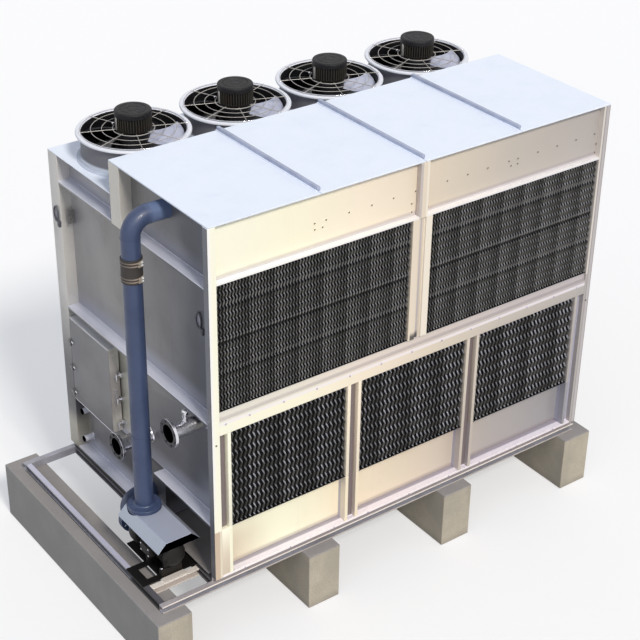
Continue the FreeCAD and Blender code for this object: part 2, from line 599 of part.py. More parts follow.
# Pump in its bay, with its hood
base_top = "skid_top + base_plate"
pump_plate = box("pump_plate", "pump_x - base_width / 2", "front + base_front", "skid_top", "base_width",
                 "base_length", "base_plate")
cross_plate = box("cross_plate", "skid_left", "front + cross_plate_back", "skid_top",
                  f"skid_bay + {web_side}", "cross_plate_depth", "base_plate")
base_window = box("base_window", "skid_left + window_along", "front + cross_plate_back + window_margin",
                  "skid_top - cut_spare", "window_width", "cross_plate_depth - 2 * window_margin",
                  "base_plate + 2 * cut_spare")
node("pump_base", cut("pump_base", fuse("base_plates", [pump_plate, cross_plate]), base_window))
motor_length = "pump_back - volute_depth / 2 - lantern_length - motor_front - motor_cap"
shell_front = "front + motor_front + motor_cap"
feet = [box(f"motor_foot_{side}", "pump_x - foot_width / 2", f"{shell_front} + {start}", base_top, "foot_width",
            "foot_length", "pump_axis_rise + casing_lift - base_plate - pump_motor_radius / 2")
        for side, start in (("front", "foot_length"), ("rear", f"{motor_length} - 2 * foot_length"))]
brackets = [box(f"hood_bracket_{side}", "pump_x - bracket / 2", f"{shell_front} + {start}",
                "pump_axis + pump_motor_radius - hood_sheet", "bracket", "bracket",
                "hood_rise - pump_axis_rise - pump_motor_radius")
            for side, start in (("front", "foot_length"), ("rear", f"{motor_length} - 3 * foot_length"))]
node("pump_motor", fuse("pump_motor", [
    rod("motor_shell", "pump_x", shell_front, "pump_axis", "pump_motor_radius", motor_length, "y"),
    rod("motor_end_cap", "pump_x", "front + motor_front", "pump_axis", "pump_motor_radius - motor_cap / 2",
        "motor_cap", "y"),
    rod("motor_lantern", "pump_x", "pump_y - volute_depth / 2 - lantern_length", "pump_axis", "lantern_radius",
        "lantern_length", "y"),
    box("terminal_box", "pump_x - pump_motor_radius - terminal_box / 2", "front + motor_front + terminal_depth",
        "pump_axis - terminal_box / 2", "terminal_box", "terminal_depth", "terminal_box")] + feet + brackets))
node("pump_volute", fuse("pump_volute", [
    rod("volute_shell", "pump_x", "pump_y - volute_depth / 2", "pump_axis", "volute_radius", "volute_depth", "y"),
    rod("discharge_neck", "pump_x", "pump_y", "pump_axis + (lantern_radius + volute_radius) / 2", "pipe_radius",
        "flange_rise - pump_axis_rise - (lantern_radius + volute_radius) / 2"),
    rod("discharge_flange", "pump_x", "pump_y", "base + flange_rise - flange", "flange_radius", "flange"),
    rod("suction_neck", "pump_x", "volute_rear", "pump_axis", "pipe_radius", "suction_length", "y"),
    rod("suction_flange", "pump_x", "volute_rear + suction_length", "pump_axis", "flange_radius", "flange", "y"),
    box("volute_foot", "pump_x - foot_width / 4", "pump_y - volute_depth / 4", base_top, "foot_width / 2",
        "volute_depth / 2", "pump_axis_rise + casing_lift - base_plate")]))
node("suction_elbow", fuse("suction_elbow", [
    rod("elbow_flange", "pump_x", "elbow_y - flange", "pump_axis", "flange_radius", "flange", "y"),
    bend("suction_turn", "suction_bend", "pump_x + suction_bend", "elbow_y", "pump_axis", FreeCAD.Rotation()),
    rod("suction_run", "pump_x + suction_bend", "elbow_y + suction_bend", "pump_axis", "pipe_radius",
        "end_sheet_x - pump_x - suction_bend", "x")]))
points = [("-(hood_top_width / 2 + hood_side_width)", "-hood_side_drop"), ("-hood_top_width / 2", 0),
          ("hood_top_width / 2", 0), ("hood_top_width / 2 + hood_side_width", "-hood_side_drop"),
          ("hood_top_width / 2 + hood_side_width", "-hood_side_drop - hood_sheet"),
          ("hood_top_width / 2", "-hood_sheet"), ("-hood_top_width / 2", "-hood_sheet"),
          ("-(hood_top_width / 2 + hood_side_width)", "-hood_side_drop - hood_sheet")]
hood = extruded("hood_fold", "XZ_Plane", points, "hood_back - hood_front", "pump_x", "front + hood_front",
                "base + hood_rise")
hood_hole = rod("hood_hole", "pump_x", "pump_y", "base", "flange_radius + hood_gap", "hood_rise + cut_spare")
node("pump_hood", cut("pump_hood", hood, hood_hole))

# Riser pipe
joint = "coupling_rise + coupling_height / 2"
node("riser_pipe", fuse("riser_pipe", [
    rod("riser_flange", "pump_x", "pump_y", "base + flange_rise", "flange_radius", "flange"),
    rod("riser_run", "pump_x", "pump_y", "base + flange_rise", "pipe_radius",
        f"{joint} - coupling_gap / 2 - flange_rise")]))
node("riser_coupling", cut(
    "riser_coupling",
    rod("coupling_sleeve", "pump_x", "pump_y", "base + coupling_rise", "pipe_radius + coupling_wall",
        "coupling_height"),
    rod("coupling_bore", "pump_x", "pump_y", "base + coupling_rise - cut_spare", "pipe_radius",
        "coupling_height + 2 * cut_spare")))
upright = FreeCAD.Rotation(AXES["x"], 90)
node("riser_elbow", fuse("riser_elbow", [
    rod("elbow_leg", "pump_x", "pump_y", f"base + {joint} + coupling_gap / 2", "pipe_radius",
        f"run_rise - riser_bend - ({joint}) - coupling_gap / 2"),
    bend("riser_turn", "riser_bend", "pump_x + riser_bend", "pump_y", "base + run_rise - riser_bend", upright),
    rod("elbow_run", "pump_x + riser_bend", "pump_y", "base + run_rise", "pipe_radius",
        "end_sheet_x - pump_x - riser_bend", "x")]))

# Flanged nozzles on the left end wall
for use in ("inlet", "outlet"):
    name = f"{use}_nozzle"
    reach = "nozzle_reach + end_recess"
    spool = spun(f"{use}_spool", [
        ("nozzle_bore", 0), ("nozzle_flange_radius", 0), ("nozzle_flange_radius", "nozzle_flange"),
        ("nozzle_radius", "nozzle_flange"), ("nozzle_radius", reach), ("nozzle_bore", reach)],
        "left - nozzle_reach", f"front + {use}_back", f"base + {use}_rise", "x")
    drill = sketch_on(spool, "XY_Plane", f"{use}_bolt_hole")
    circle(drill, "bolt_hole", "bolt_circle")
    around(spool, pocket(spool, drill, "nozzle_flange"), "bolt_count")
    if use == "outlet":
        node(name, spool)
    else:
        vent = ("left + vent_along", "front + inlet_back")
        foot = "base + inlet_rise + (nozzle_bore + nozzle_radius) / 2"
        node(name, fuse(name, [
            spool, rod("vent_stem", *vent, foot, "vent_radius", "vent_height"),
            rod("vent_head", *vent, f"{foot} + vent_height", "vent_cap_radius", "vent_cap")]))

# Access door with its hinges
slab = box("door_slab", "left", door_front, "base + door_rise", "door_depth", "door_width", "door_height")
grip = box("door_grip", "left + (door_depth - grip_width) / 2", f"{door_front} - grip_depth",
           "base + grip_rise - grip_length / 2", "grip_width", "grip_depth", "grip_length")
moving = [slab, grip]
fixed = []
knuckle = "(hinge_length - hinge_joint) / 2"
for index in range(HINGES):
    foot = f"base + hinge_rise + {index} * hinge_pitch"
    moving_foot = f"{foot} + {knuckle} + hinge_joint"
    eye = rod(f"door_eye_{index + 1}", "hinge_x", "hinge_y", moving_foot, "hinge_radius", knuckle)
    hole = rod(f"eye_hole_{index + 1}", "hinge_x", "hinge_y", f"{moving_foot} - cut_spare",
               "pin_radius + pin_gap", f"{knuckle} + 2 * cut_spare")
    leaf = box(f"door_leaf_{index + 1}", "left - leaf", "hinge_y - leaf_width", moving_foot, "leaf",
               "leaf_width - pin_radius - pin_gap", knuckle)
    moving.append(cut(f"door_knuckle_{index + 1}", fuse(f"door_wing_{index + 1}", [eye, leaf]), hole))
    fixed.append(fuse(f"post_hinge_{index + 1}", [
        rod(f"post_eye_{index + 1}", "hinge_x", "hinge_y", foot, "hinge_radius", knuckle),
        rod(f"hinge_pin_{index + 1}", "hinge_x", "hinge_y", foot, "pin_radius", "hinge_length"),
        box(f"post_leaf_{index + 1}", "left - leaf", "hinge_y", foot, "leaf", "leaf_width", knuckle)]))
node("access_door", fuse("access_door", moving))
node("door_hinges", group("door_hinges", fixed))

# Lifting lugs, two on each end wall
lugs = []
for side, start in (("left", "end_sheet_x - lug_width"), ("right", "right - end_recess")):
    for end, where in (("front", "wall_front + lug_gap"), ("rear", "rear_post_y - lug_gap - lug")):
        ear = box(f"{side}_{end}_ear", start, where, "base + lug_rise", "lug_width", "lug", "lug_height")
        eye = rod(f"{side}_{end}_eye", f"{start} + lug_width / 2", f"{where} - cut_spare",
                  "base + lug_rise + lug_height / 2", "lug_hole", "lug + 2 * cut_spare", "y")
        lugs.append(cut(f"{side}_{end}_lug", ear, eye))
node("lifting_lugs", group("lifting_lugs", lugs))

doc.recompute()
broken = [item.Name for item in doc.Objects if "Invalid" in item.State or "Error" in item.State]
for item in nodes:
    if item.Shape.isNull() or not item.Shape.isValid() or not item.Shape.Solids:
        broken.append(item.Label)
if broken:
    raise RuntimeError("not built: " + ", ".join(broken))
for spool in ("inlet_spool", "outlet_spool"):
    turned = doc.getObject(spool + "_turn").Shape.Volume
    if doc.getObject(spool).Shape.Volume >= turned:
        raise RuntimeError(spool + " has no bolt holes")

os.makedirs("parts", exist_ok=True)
for item in nodes:
    item.Shape.exportStep(f"parts/{item.Label}.step")
print(len(nodes), "sub-parts written")
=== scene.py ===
import math

import bmesh
import bpy
from mathutils import Euler, Matrix, Vector


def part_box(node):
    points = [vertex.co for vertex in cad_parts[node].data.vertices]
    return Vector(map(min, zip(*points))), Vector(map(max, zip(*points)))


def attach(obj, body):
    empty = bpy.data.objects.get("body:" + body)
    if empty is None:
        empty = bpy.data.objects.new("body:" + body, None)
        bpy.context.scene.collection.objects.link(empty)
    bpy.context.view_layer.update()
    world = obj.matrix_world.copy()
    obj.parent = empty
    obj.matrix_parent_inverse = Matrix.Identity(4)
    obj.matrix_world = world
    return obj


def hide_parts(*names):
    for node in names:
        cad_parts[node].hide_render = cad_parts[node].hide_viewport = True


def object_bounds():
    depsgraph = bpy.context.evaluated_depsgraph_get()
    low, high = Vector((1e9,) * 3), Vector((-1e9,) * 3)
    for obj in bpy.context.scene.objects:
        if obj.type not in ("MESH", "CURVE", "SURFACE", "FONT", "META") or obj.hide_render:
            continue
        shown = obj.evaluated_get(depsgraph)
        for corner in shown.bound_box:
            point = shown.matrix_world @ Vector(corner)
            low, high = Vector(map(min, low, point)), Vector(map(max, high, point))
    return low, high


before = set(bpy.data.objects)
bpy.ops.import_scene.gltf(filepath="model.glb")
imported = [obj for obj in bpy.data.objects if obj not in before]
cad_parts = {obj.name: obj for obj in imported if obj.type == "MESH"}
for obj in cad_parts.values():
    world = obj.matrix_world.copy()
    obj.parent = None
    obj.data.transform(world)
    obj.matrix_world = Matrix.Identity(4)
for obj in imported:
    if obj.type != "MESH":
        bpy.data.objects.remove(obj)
CAD_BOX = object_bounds()
scene = bpy.context.scene

FULL_TURN = 2 * math.pi
QUARTER = math.pi / 2
AIMS = {"z": Matrix.Identity(4), "-z": Matrix.Rotation(math.pi, 4, "X"),
        "x": Matrix.Rotation(QUARTER, 4, "Y"), "-x": Matrix.Rotation(-QUARTER, 4, "Y"),
        "y": Matrix.Rotation(-QUARTER, 4, "X"), "-y": Matrix.Rotation(QUARTER, 4, "X")}


# Camera, lamps and the pale floor
camera = bpy.data.objects.new("camera", bpy.data.cameras.new("camera"))
camera.data.lens = 87.204
camera.data.sensor_width = 36
camera.data.clip_end = 200
camera.location = (-6.3236, -8.6767, 8.0632)
camera.rotation_euler = Euler((1.038958, -0.013809, -0.63318))
scene.collection.objects.link(camera)
scene.camera = camera
scene.view_settings.view_transform = "Standard"


def sun(name, towards, strength, colour, softness):
    """A soft distant lamp that shines along a direction."""
    lamp = bpy.data.lights.new(name, "SUN")
    lamp.energy = strength
    lamp.color = colour
    lamp.angle = math.radians(softness)
    holder = bpy.data.objects.new(name, lamp)
    holder.rotation_euler = Vector(towards).to_track_quat("-Z", "Y").to_euler()
    scene.collection.objects.link(holder)


sun("key_lamp", (0.1, 0.72, -0.7), 2.5, (1.0, 0.95, 0.87), 12)
sun("fill_lamp", (0.8, 0.45, -0.6), 0.35, (0.88, 0.92, 1.0), 50)


class Tone:
    """A shader socket that takes part in arithmetic, so a pattern is written as a formula."""

    def __init__(self, tree, socket):
        self.tree = tree
        self.socket = socket

    def node(self, kind, inputs, out=0, stops=(), **settings):
        """Any shader node: its settings first, then the values or links of its sockets."""
        made = self.tree.nodes.new("ShaderNode" + kind)
        for name, setting in settings.items():
            setattr(made, name, setting)
        for index, (position, colour) in enumerate(stops):
            band = made.color_ramp.elements
            stop = band[index] if index < len(band) else band.new(position)
            stop.position = position
            stop.color = colour
        for name, value in inputs.items():
            if isinstance(value, Tone):
                self.tree.links.new(value.socket, made.inputs[name])
            else:
                made.inputs[name].default_value = value
        return Tone(self.tree, made.outputs[out])

    def maths(self, operation, *values):
        return self.node("Math", dict(enumerate(values)), operation=operation)

    def __add__(self, other):
        return self.maths("ADD", self, other)

    def __sub__(self, other):
        return self.maths("SUBTRACT", self, other)

    def __mul__(self, other):
        return self.maths("MULTIPLY", self, other)

    __radd__ = __add__

    def run(self, start, end, low=0.0, high=1.0):
        """A smooth change from low to high as the value goes from start to end."""
        return self.node("MapRange", {0: self, 1: start, 2: end, 3: low, 4: high},
                         interpolation_type="SMOOTHSTEP")

    def mix(self, first, second):
        """The first colour where this value is 0, the second where it is 1."""
        shades = [tint(*shade) if isinstance(shade, tuple) and len(shade) == 3 else shade
                  for shade in (first, second)]
        return self.node("Mix", {0: self, 6: shades[0], 7: shades[1]}, out=2, data_type="RGBA")

    def axis(self, number):
        return self.node("SeparateXYZ", {0: self}, out=number)

    def within(self, *ranges):
        """A mask from the product of smooth steps. Each range is an axis, its start and its end."""
        mask = 1.0
        for number, start, end in ranges:
            mask = self.axis(number).run(start, end) * mask
        return mask

    def scaled(self, x, y, z):
        return self.node("VectorMath", {0: self, 1: (x, y, z)}, operation="MULTIPLY")

    def noise(self, scale, detail=3.0, roughness=0.55):
        return self.node("TexNoise",
                         {"Vector": self, "Scale": scale, "Detail": detail, "Roughness": roughness})

    def cells(self, scale, out=0):
        return self.node("TexVoronoi", {"Vector": self, "Scale": scale}, out=out)


def tint(*parts):
    """A colour as the eye reads it, three parts of 0 to 255, made linear for the shader."""
    return *(((part / 255 + 0.055) / 1.055) ** 2.4 if part > 10 else part / 3295 for part in parts), 1.0


def surface(name):
    """A new material's shader, and the place on the piece that its pattern follows."""
    material = bpy.data.materials.new(name)
    material.use_nodes = True
    tree = material.node_tree
    place = Tone(tree, tree.nodes.new("ShaderNodeTexCoord").outputs["Object"])
    return material, tree.nodes["Principled BSDF"], place


def dress(shader, colour, roughness, height=None, depth=0.001, **fixed):
    """Feeds a shader: what varies through links, what is constant on the shader's own sockets."""
    for name, value in (("Base Color", colour), ("Roughness", roughness)):
        if isinstance(value, Tone):
            value.tree.links.new(value.socket, shader.inputs[name])
        else:
            shader.inputs[name].default_value = value
    for name, value in fixed.items():
        shader.inputs[name.replace("_", " ").title().replace("Ior", "IOR")].default_value = value
    if height is not None:
        bumped = height.node("Bump", {"Height": height, "Distance": depth})
        height.tree.links.new(bumped.socket, shader.inputs["Normal"])


def white_to_camera(tree, seen, lit):
    """One colour for rays that show a background, another for the light it sends out."""
    path = tree.nodes.new("ShaderNodeLightPath")
    direct = Tone(tree, path.outputs["Is Camera Ray"]) + Tone(tree, path.outputs["Is Glossy Ray"])
    direct = direct + Tone(tree, path.outputs["Is Transmission Ray"])
    return direct.mix(lit, seen)


world = bpy.data.worlds.new("studio")
scene.world = world
world.use_nodes = True
backdrop = world.node_tree.nodes["Background"]
sky = white_to_camera(world.node_tree, (249, 249, 250), (0.4, 0.43, 0.48, 1.0))
world.node_tree.links.new(sky.socket, backdrop.inputs["Color"])

FLOOR_REACH = 90
floor_mesh = bpy.data.meshes.new("floor")
ground = bmesh.new()
bmesh.ops.create_circle(ground, cap_ends=True, segments=64, radius=FLOOR_REACH)
ground.to_mesh(floor_mesh)
ground.free()
floor = bpy.data.objects.new("floor", floor_mesh)
floor.location.z = CAD_BOX[0].z - 0.001
scene.collection.objects.link(floor)
floor_finish, shader, spot = surface("floor_finish")
paper = white_to_camera(floor_finish.node_tree, (0.56, 0.56, 0.565, 1.0), (150, 150, 152))
glow = white_to_camera(floor_finish.node_tree, (0.38, 0.38, 0.385, 1.0), (0.0, 0.0, 0.0, 1.0))
dress(shader, paper, 0.9, emission_strength=1.0)
floor_finish.node_tree.links.new(glow.socket, shader.inputs["Emission Color"])
floor_mesh.materials.append(floor_finish)


# Finishes. A colour of three parts, 0 to 255, goes through tint.
def concrete():
    """Cast concrete: tan and grey clouds, fine sand, small pores, a damp foot and runs from the top, with a
    painted grey shade on the tops and on the left side.
    """
    material, shader, spot = surface("concrete")
    clouds = spot.noise(2.6, 5.0, 0.6).run(0.32, 0.7)
    sand = spot.noise(110.0, 2.0)
    pores = spot.cells(46.0).run(0.05, 0.16, 1.0, 0.0) * spot.noise(7.0).run(0.5, 0.62)
    runs = spot.scaled(9.0, 9.0, 0.7).noise(1.0, 4.0).run(0.52, 0.72)
    runs = runs * spot.axis(2).run(0.12, 0.5, 0.1, 0.55)
    foot = spot.axis(2).run(0.0, 0.09, 0.55, 0.0)
    colour = clouds.mix((176, 168, 153), (199, 189, 171))
    colour = (sand.run(0.3, 0.75) * 0.5).mix(colour, (150, 143, 132))
    colour = (runs * 0.5 + foot * 0.6).mix(colour, (122, 116, 106))
    # Painted shade: the tops of the plinths and the left side of the first are grey, as the concrete looks in
    # shade.
    colour = (spot.within((2, 0.485, 0.4985)) * 0.8).mix(colour, (132, 130, 134))
    colour = (spot.within((0, -2.158, -2.1615)) * 0.85).mix(colour, (144, 144, 144))
    colour = (pores * 0.8).mix(colour, (86, 80, 72))
    dress(shader, colour, clouds.run(0.0, 1.0, 0.95, 0.82), clouds * 0.4 + sand * 0.35 - pores, 0.0025)
    return material


def banded(spot, colour, bands):
    """Lays bands over a colour, most of them painted light and shade. Each band is an amount, a colour and
    the ranges that bound it.
    """
    for amount, shade, *ranges in bands:
        colour = (spot.within(*ranges) * amount).mix(colour, shade)
    return colour


def sheet_metal(name, tones, along, grime, dirty, metallic, gloss, bands=()):
    """Folded sheet steel with a satin finish: a slow change of tone along one axis that paints light and
    shade across the sheet, bands of painted shade and painted sheen at folds and seams, fine mottling, faint
    upright runs and a little dirt in patches."""
    material, shader, spot = surface(name)
    start, end = tones[0][0], tones[-1][0]
    slow = spot.node("MapRange", {0: spot.axis(along), 1: start, 2: end})
    colour = slow.node("ValToRGB", {0: slow},
                       stops=[((place - start) / (end - start), tint(*shade)) for place, shade in tones])
    mottle = spot.noise(3.2, 4.0, 0.6)
    runs = spot.scaled(14.0, 14.0, 0.8).noise(1.0, 3.0)
    grain = spot.noise(260.0, 2.0)
    dirt = mottle.run(0.52, 0.8) * 0.45 + runs.run(0.55, 0.8) * 0.35
    colour = banded(spot, (dirt * dirty).mix(colour, grime), bands)
    rough = mottle.run(0.3, 0.75, gloss, gloss + 0.14) + grain * 0.05
    dress(shader, colour, rough, grain * 0.25 + mottle, 0.0006, metallic=metallic)
    return material


def galvanised(name, bands=()):
    """Hot dip zinc: small crystal fields, dull, with grey wash marks, and bands of painted highlight and
    painted shade on its lips and webs.
    """
    material, shader, spot = surface(name)
    field = spot.cells(60.0, out=1)
    grey = field.node("SeparateColor", {0: field})
    wash = spot.noise(5.0, 4.0).run(0.4, 0.75)
    colour = (grey * 0.35).mix((158, 158, 168), (186, 186, 198))
    colour = banded(spot, (wash * 0.6).mix(colour, (128, 126, 130)), bands)
    rough = grey.run(0.0, 1.0, 0.36, 0.58) + wash * 0.1
    dress(shader, colour, rough, spot.noise(90.0), 0.0006, metallic=0.25)
    return material


def cell_plastic(name, dark, pale, pitch, start, rows=()):
    """Film plastic of the inlet cells. Each block of cells is painted lightest at its left edge as painted
    light, and each joint between two rows of blocks is dark under a pale row."""
    material, shader, spot = surface(name)
    share = (spot.axis(0) - start) * (1.0 / pitch)
    share = share.maths("FRACT", share)
    lit = share.run(0.0, 1.0, 1.0, 0.4) * spot.noise(9.0, 2.0).run(0.25, 0.75, 0.8, 1.1)
    colour = lit.mix(dark, pale)
    for level, amount in rows:
        row = spot.within((2, level, level + 0.008), (2, level + 0.036, level + 0.024))
        joint = spot.within((2, level - 0.03, level - 0.02), (2, level + 0.004, level - 0.004))
        colour = (row * amount * 0.4).mix(colour, (214, 212, 214))
        colour = (joint * amount).mix(colour, (12, 12, 12))
    rough = 0.34 + spot.noise(40.0) * 0.12
    dress(shader, colour, rough, spot.noise(150.0, 2.0), 0.0006, specular_ior_level=0.25)
    return material


def paint(name, base, worn, rough, fine=120.0, metallic=0.0, coat=0.0, depth=0.0008, shine=0.5, bands=()):
    """Even paint or plastic with soft wear, faint dust and a fine grain."""
    material, shader, spot = surface(name)
    wear = spot.noise(4.5, 5.0, 0.62).run(0.42, 0.78)
    dust = spot.noise(22.0, 3.0).run(0.5, 0.8)
    colour = banded(spot, (wear * 0.6 + dust * 0.25).mix(base, worn), bands)
    grain = spot.noise(fine, 2.0)
    dress(shader, colour, wear.run(0.0, 1.0, rough, rough + 0.16), grain + wear, depth, metallic=metallic,
          coat_weight=coat, specular_ior_level=shine)
    return material


def polished(name, base):
    """Bright stainless steel with brush marks and a heat tinge."""
    material, shader, spot = surface(name)
    brush = spot.scaled(30.0, 160.0, 160.0).noise(1.0, 2.0)
    cloud = spot.noise(7.0, 3.0).run(0.45, 0.8)
    colour = (cloud * 0.5).mix(base, (150, 150, 162))
    rough = brush.run(0.2, 0.8, 0.16, 0.28) + cloud * 0.08
    dress(shader, colour, rough, brush, 0.0003, metallic=1.0)
    return material


# Painted light: the front sheets are painted bright ivory at the left and greyer to the right, standing in
# for how light and its reflection fall across the front.
IVORY_PAINTED_LIGHT = [(-1.61, (254, 252, 232)), (-0.9, (254, 248, 222)), (-0.3, (248, 234, 212)),
         (0.4, (222, 209, 190)), (1.1, (196, 187, 177)), (2.05, (176, 170, 167))]
YELLOW_PAINTED_LIGHT = [(-1.61, (254, 252, 226)), (-0.9, (254, 250, 222)), (-0.3, (248, 232, 204)),
          (0.4, (222, 206, 186)), (1.1, (178, 170, 166)), (2.05, (148, 147, 152))]
# Painted light and shade: the grey walls and posts are painted darker at the front and lighter towards the
# back, and the door lighter at its front edge, standing in for the light and reflections across them.
WALL_PAINTED_SHADING = [(-1.13, (104, 106, 116)), (-0.95, (104, 106, 114)), (-0.75, (108, 109, 114)), (-0.2, (126, 125, 126)),
        (0.3, (140, 138, 136)), (0.7, (152, 151, 152)), (0.95, (172, 171, 174)), (1.09, (150, 150, 154))]
POST_PAINTED_SHADING = [(-1.13, (150, 150, 160)), (-0.2, (204, 200, 191)), (0.9, (214, 211, 205)), (1.09, (200, 198, 196))]
DOOR_PAINTED_SHADING = [(0.3, (200, 196, 190)), (1.0, (150, 150, 154))]


def ledge_bands(*ledges):
    """Painted light on each ledge: a painted sheen on its top, dimmer towards the wall, a soft painted glow
    on the wall above it towards the back, and a painted shadow line under it.
    """
    bands = []
    for top, glow in ledges:
        lip = (2, top - 0.004, top - 0.001), (2, top + 0.006, top + 0.001)
        bands += [
            (glow, (186, 188, 202), (2, top + 0.17, top + 0.01), (2, top - 0.002, top + 0.002),
             (1, -1.12, -0.6)),
            (1.0, (228, 230, 244), *lip), (0.45, (150, 152, 166), *lip, (0, -1.575, -1.515)),
            (0.7, (64, 66, 74), (2, top - 0.04, top - 0.032), (2, top - 0.016, top - 0.024))]
    return bands


def cream(name, bands=(), dirty=0.14):
    """The pale sheet steel of the front, painted ivory at the left and greyer to the right as painted light.
    """
    return sheet_metal(name, IVORY_PAINTED_LIGHT, 0, (190, 180, 164), dirty, 0.1, 0.36, bands)


# Ranges that bound the bands: an axis, the start and the end of the step
LEFT_END = (0, -1.0, -1.3)
LEFT_SIDE = (0, -1.608, -1.6092)
NOT_LEFT_SIDE = (0, -1.609, -1.6082)
DOOR_FACE = (0, -1.6065, -1.6085)
REAR_FLANGE = (1, 0.9, 0.94)
PANEL_FACE = (1, -1.046, -1.042)
PANEL_EDGE = (1, -1.041, -1.046)
SILL_TOP = (2, 0.626, 0.622)
BEAM_TOP = (2, 0.561, 0.5625)
WEB_TOP = (2, 0.49, 0.495)
# Painted shade: the lavender grey painted on the sides of recesses.
RECESS_PAINTED_SHADE = (176, 176, 196)
CONCRETE = concrete()
CREAM = cream("cream_steel")
COVER = cream("cover_steel", [(0.6, (206, 178, 152), (2, 1.12, 0.72))])
# Painted highlight on the fascia's bottom lip and painted shadow on the recessed sheet just above it.
FASCIA = cream("fascia_steel", [
    (0.75, (250, 248, 250), (2, 3.108, 3.088)),
    (0.5, (150, 140, 148), (1, -1.094, -1.09), (2, 3.134, 3.104))], 0.1)
# Painted light and shade on the mid rail: a painted highlight band, a lavender painted shade above it, a dark
# painted shadow over its chamfer and a faint painted shade near its top.
RAIL = cream("rail_steel", [
    (0.6, (246, 240, 250), (2, 1.946, 1.954), (2, 1.98, 1.97)),
    (0.4, (196, 186, 196), (2, 1.972, 1.984)),
    (0.6, (132, 124, 126), (2, 1.99, 1.996), (2, 2.016, 2.006)),
    (0.25, (150, 146, 144), (2, 2.036, 2.058))], 0.1)
# Painted light and shade on the inlet frame: the recessed faces painted lavender as shade, the mullion floors
# dark as shade, a painted highlight on the front of the sill top and painted shade at its back.
INLET = cream("inlet_steel", [
    (0.9, RECESS_PAINTED_SHADE, (1, -1.13, -1.126)),
    (0.9, (112, 98, 96), (1, -1.095, -1.093), (2, 0.624, 0.628), (0, 1.9, 1.8)),
    (0.7, (252, 244, 252), SILL_TOP, (1, -1.07, -1.085)),
    (0.6, (150, 138, 146), SILL_TOP, (1, -1.085, -1.062))])
# Painted light and shade on the lower panels: the recess sides painted lavender as shade, more so in the
# inner corner, painted shadow along the foot of each panel face and painted shade along its top; the face is
# also a warm tan towards the lower left.
PANEL = sheet_metal("panel_steel", YELLOW_PAINTED_LIGHT, 0, (180, 168, 150), 0.2, 0.1, 0.36, [
    (0.35, RECESS_PAINTED_SHADE, (1, -1.13, -1.124), PANEL_EDGE),
    (0.85, RECESS_PAINTED_SHADE, (1, -1.078, -1.066), PANEL_EDGE),
    (0.45, (140, 126, 130), PANEL_FACE, (2, 0.668, 0.628)),
    (0.3, (150, 138, 140), PANEL_FACE, (2, 0.99, 1.034)),
    (0.6, (206, 178, 152), PANEL_FACE, (0, -0.95, -1.5), (2, 1.06, 0.8))])
# Painted light and shade on the front left post: a white painted highlight along its left edge, its left side
# painted grey as shade, darker low down and at its front edge, and a warm tan on its lower front.
LEFT_POST = cream("left_post_steel", [
    (0.8, (254, 252, 252), (0, -1.586, -1.591), (2, 1.0, 1.6)),
    (1.0, (122, 123, 130), LEFT_SIDE),
    (0.5, (92, 94, 102), LEFT_SIDE, (2, 2.0, 1.2)),
    (0.6, (84, 86, 82), (1, -1.124, -1.129), LEFT_SIDE),
    (0.75, (196, 168, 146), NOT_LEFT_SIDE, (2, 1.045, 1.03), (0, -1.56, -1.57)),
    (0.45, (206, 182, 158), NOT_LEFT_SIDE, (2, 1.045, 1.03))])
# Painted light and shade on the front right post: a painted highlight on its upper front, a painted shade
# line at its fold, a lavender painted sheen on the next strip and painted shade on its outer side.
RIGHT_POST = cream("right_post_steel", [
    (0.6, (240, 232, 222), (0, 2.006, 2.002), (2, 2.04, 2.06)),
    (0.55, (136, 128, 132), (0, 2.004, 2.007), (0, 2.015, 2.012)),
    (0.35, (206, 202, 212), (0, 2.014, 2.018), (0, 2.042, 2.038)),
    (0.7, (142, 130, 122), (0, 2.042, 2.045))])
# Painted light and shade on the middle post: painted shade at its top on the left flange, a lavender painted
# sheen in its groove, a painted highlight on its right flange and dark painted shade low down.
MIDDLE_POST = cream("middle_post_steel", [
    (0.6, (172, 166, 176), (2, 3.07, 3.085), (0, 0.206, 0.198)),
    (0.6, (176, 170, 188), (2, 3.066, 3.056), (0, 0.206, 0.21), (0, 0.228, 0.224)),
    (0.6, (250, 242, 228), (0, 0.238, 0.242)),
    (0.9, (44, 40, 44), (2, 2.135, 2.085), (0, 0.142, 0.15), (0, 0.232, 0.224))])
POST_STEEL = sheet_metal("post_steel", POST_PAINTED_SHADING, 1, (120, 116, 112), 0.3, 0.35, 0.34, [
    (1.0, (100, 99, 102), (2, 2.1, 1.35), REAR_FLANGE, LEFT_END),
    (0.5, (214, 208, 188), (2, 0.98, 0.8), REAR_FLANGE, LEFT_END)])
# Painted light on the door's top face, which sits in the shade under the ledge; the door face is also darker
# towards its foot and its hinge-side edge greyer.
DOOR_STEEL = sheet_metal("door_steel", DOOR_PAINTED_SHADING, 1, (120, 116, 112), 0.6, 0.35, 0.34, [
    (0.92, (116, 116, 118), DOOR_FACE),
    (0.5, (98, 98, 101), DOOR_FACE, (2, 1.5, 1.1)),
    (0.9, (244, 244, 248), (2, 1.857, 1.859)),
    (0.5, (140, 134, 136), (1, 0.332, 0.329), (2, 1.7, 1.6), (2, 1.2, 1.3))])
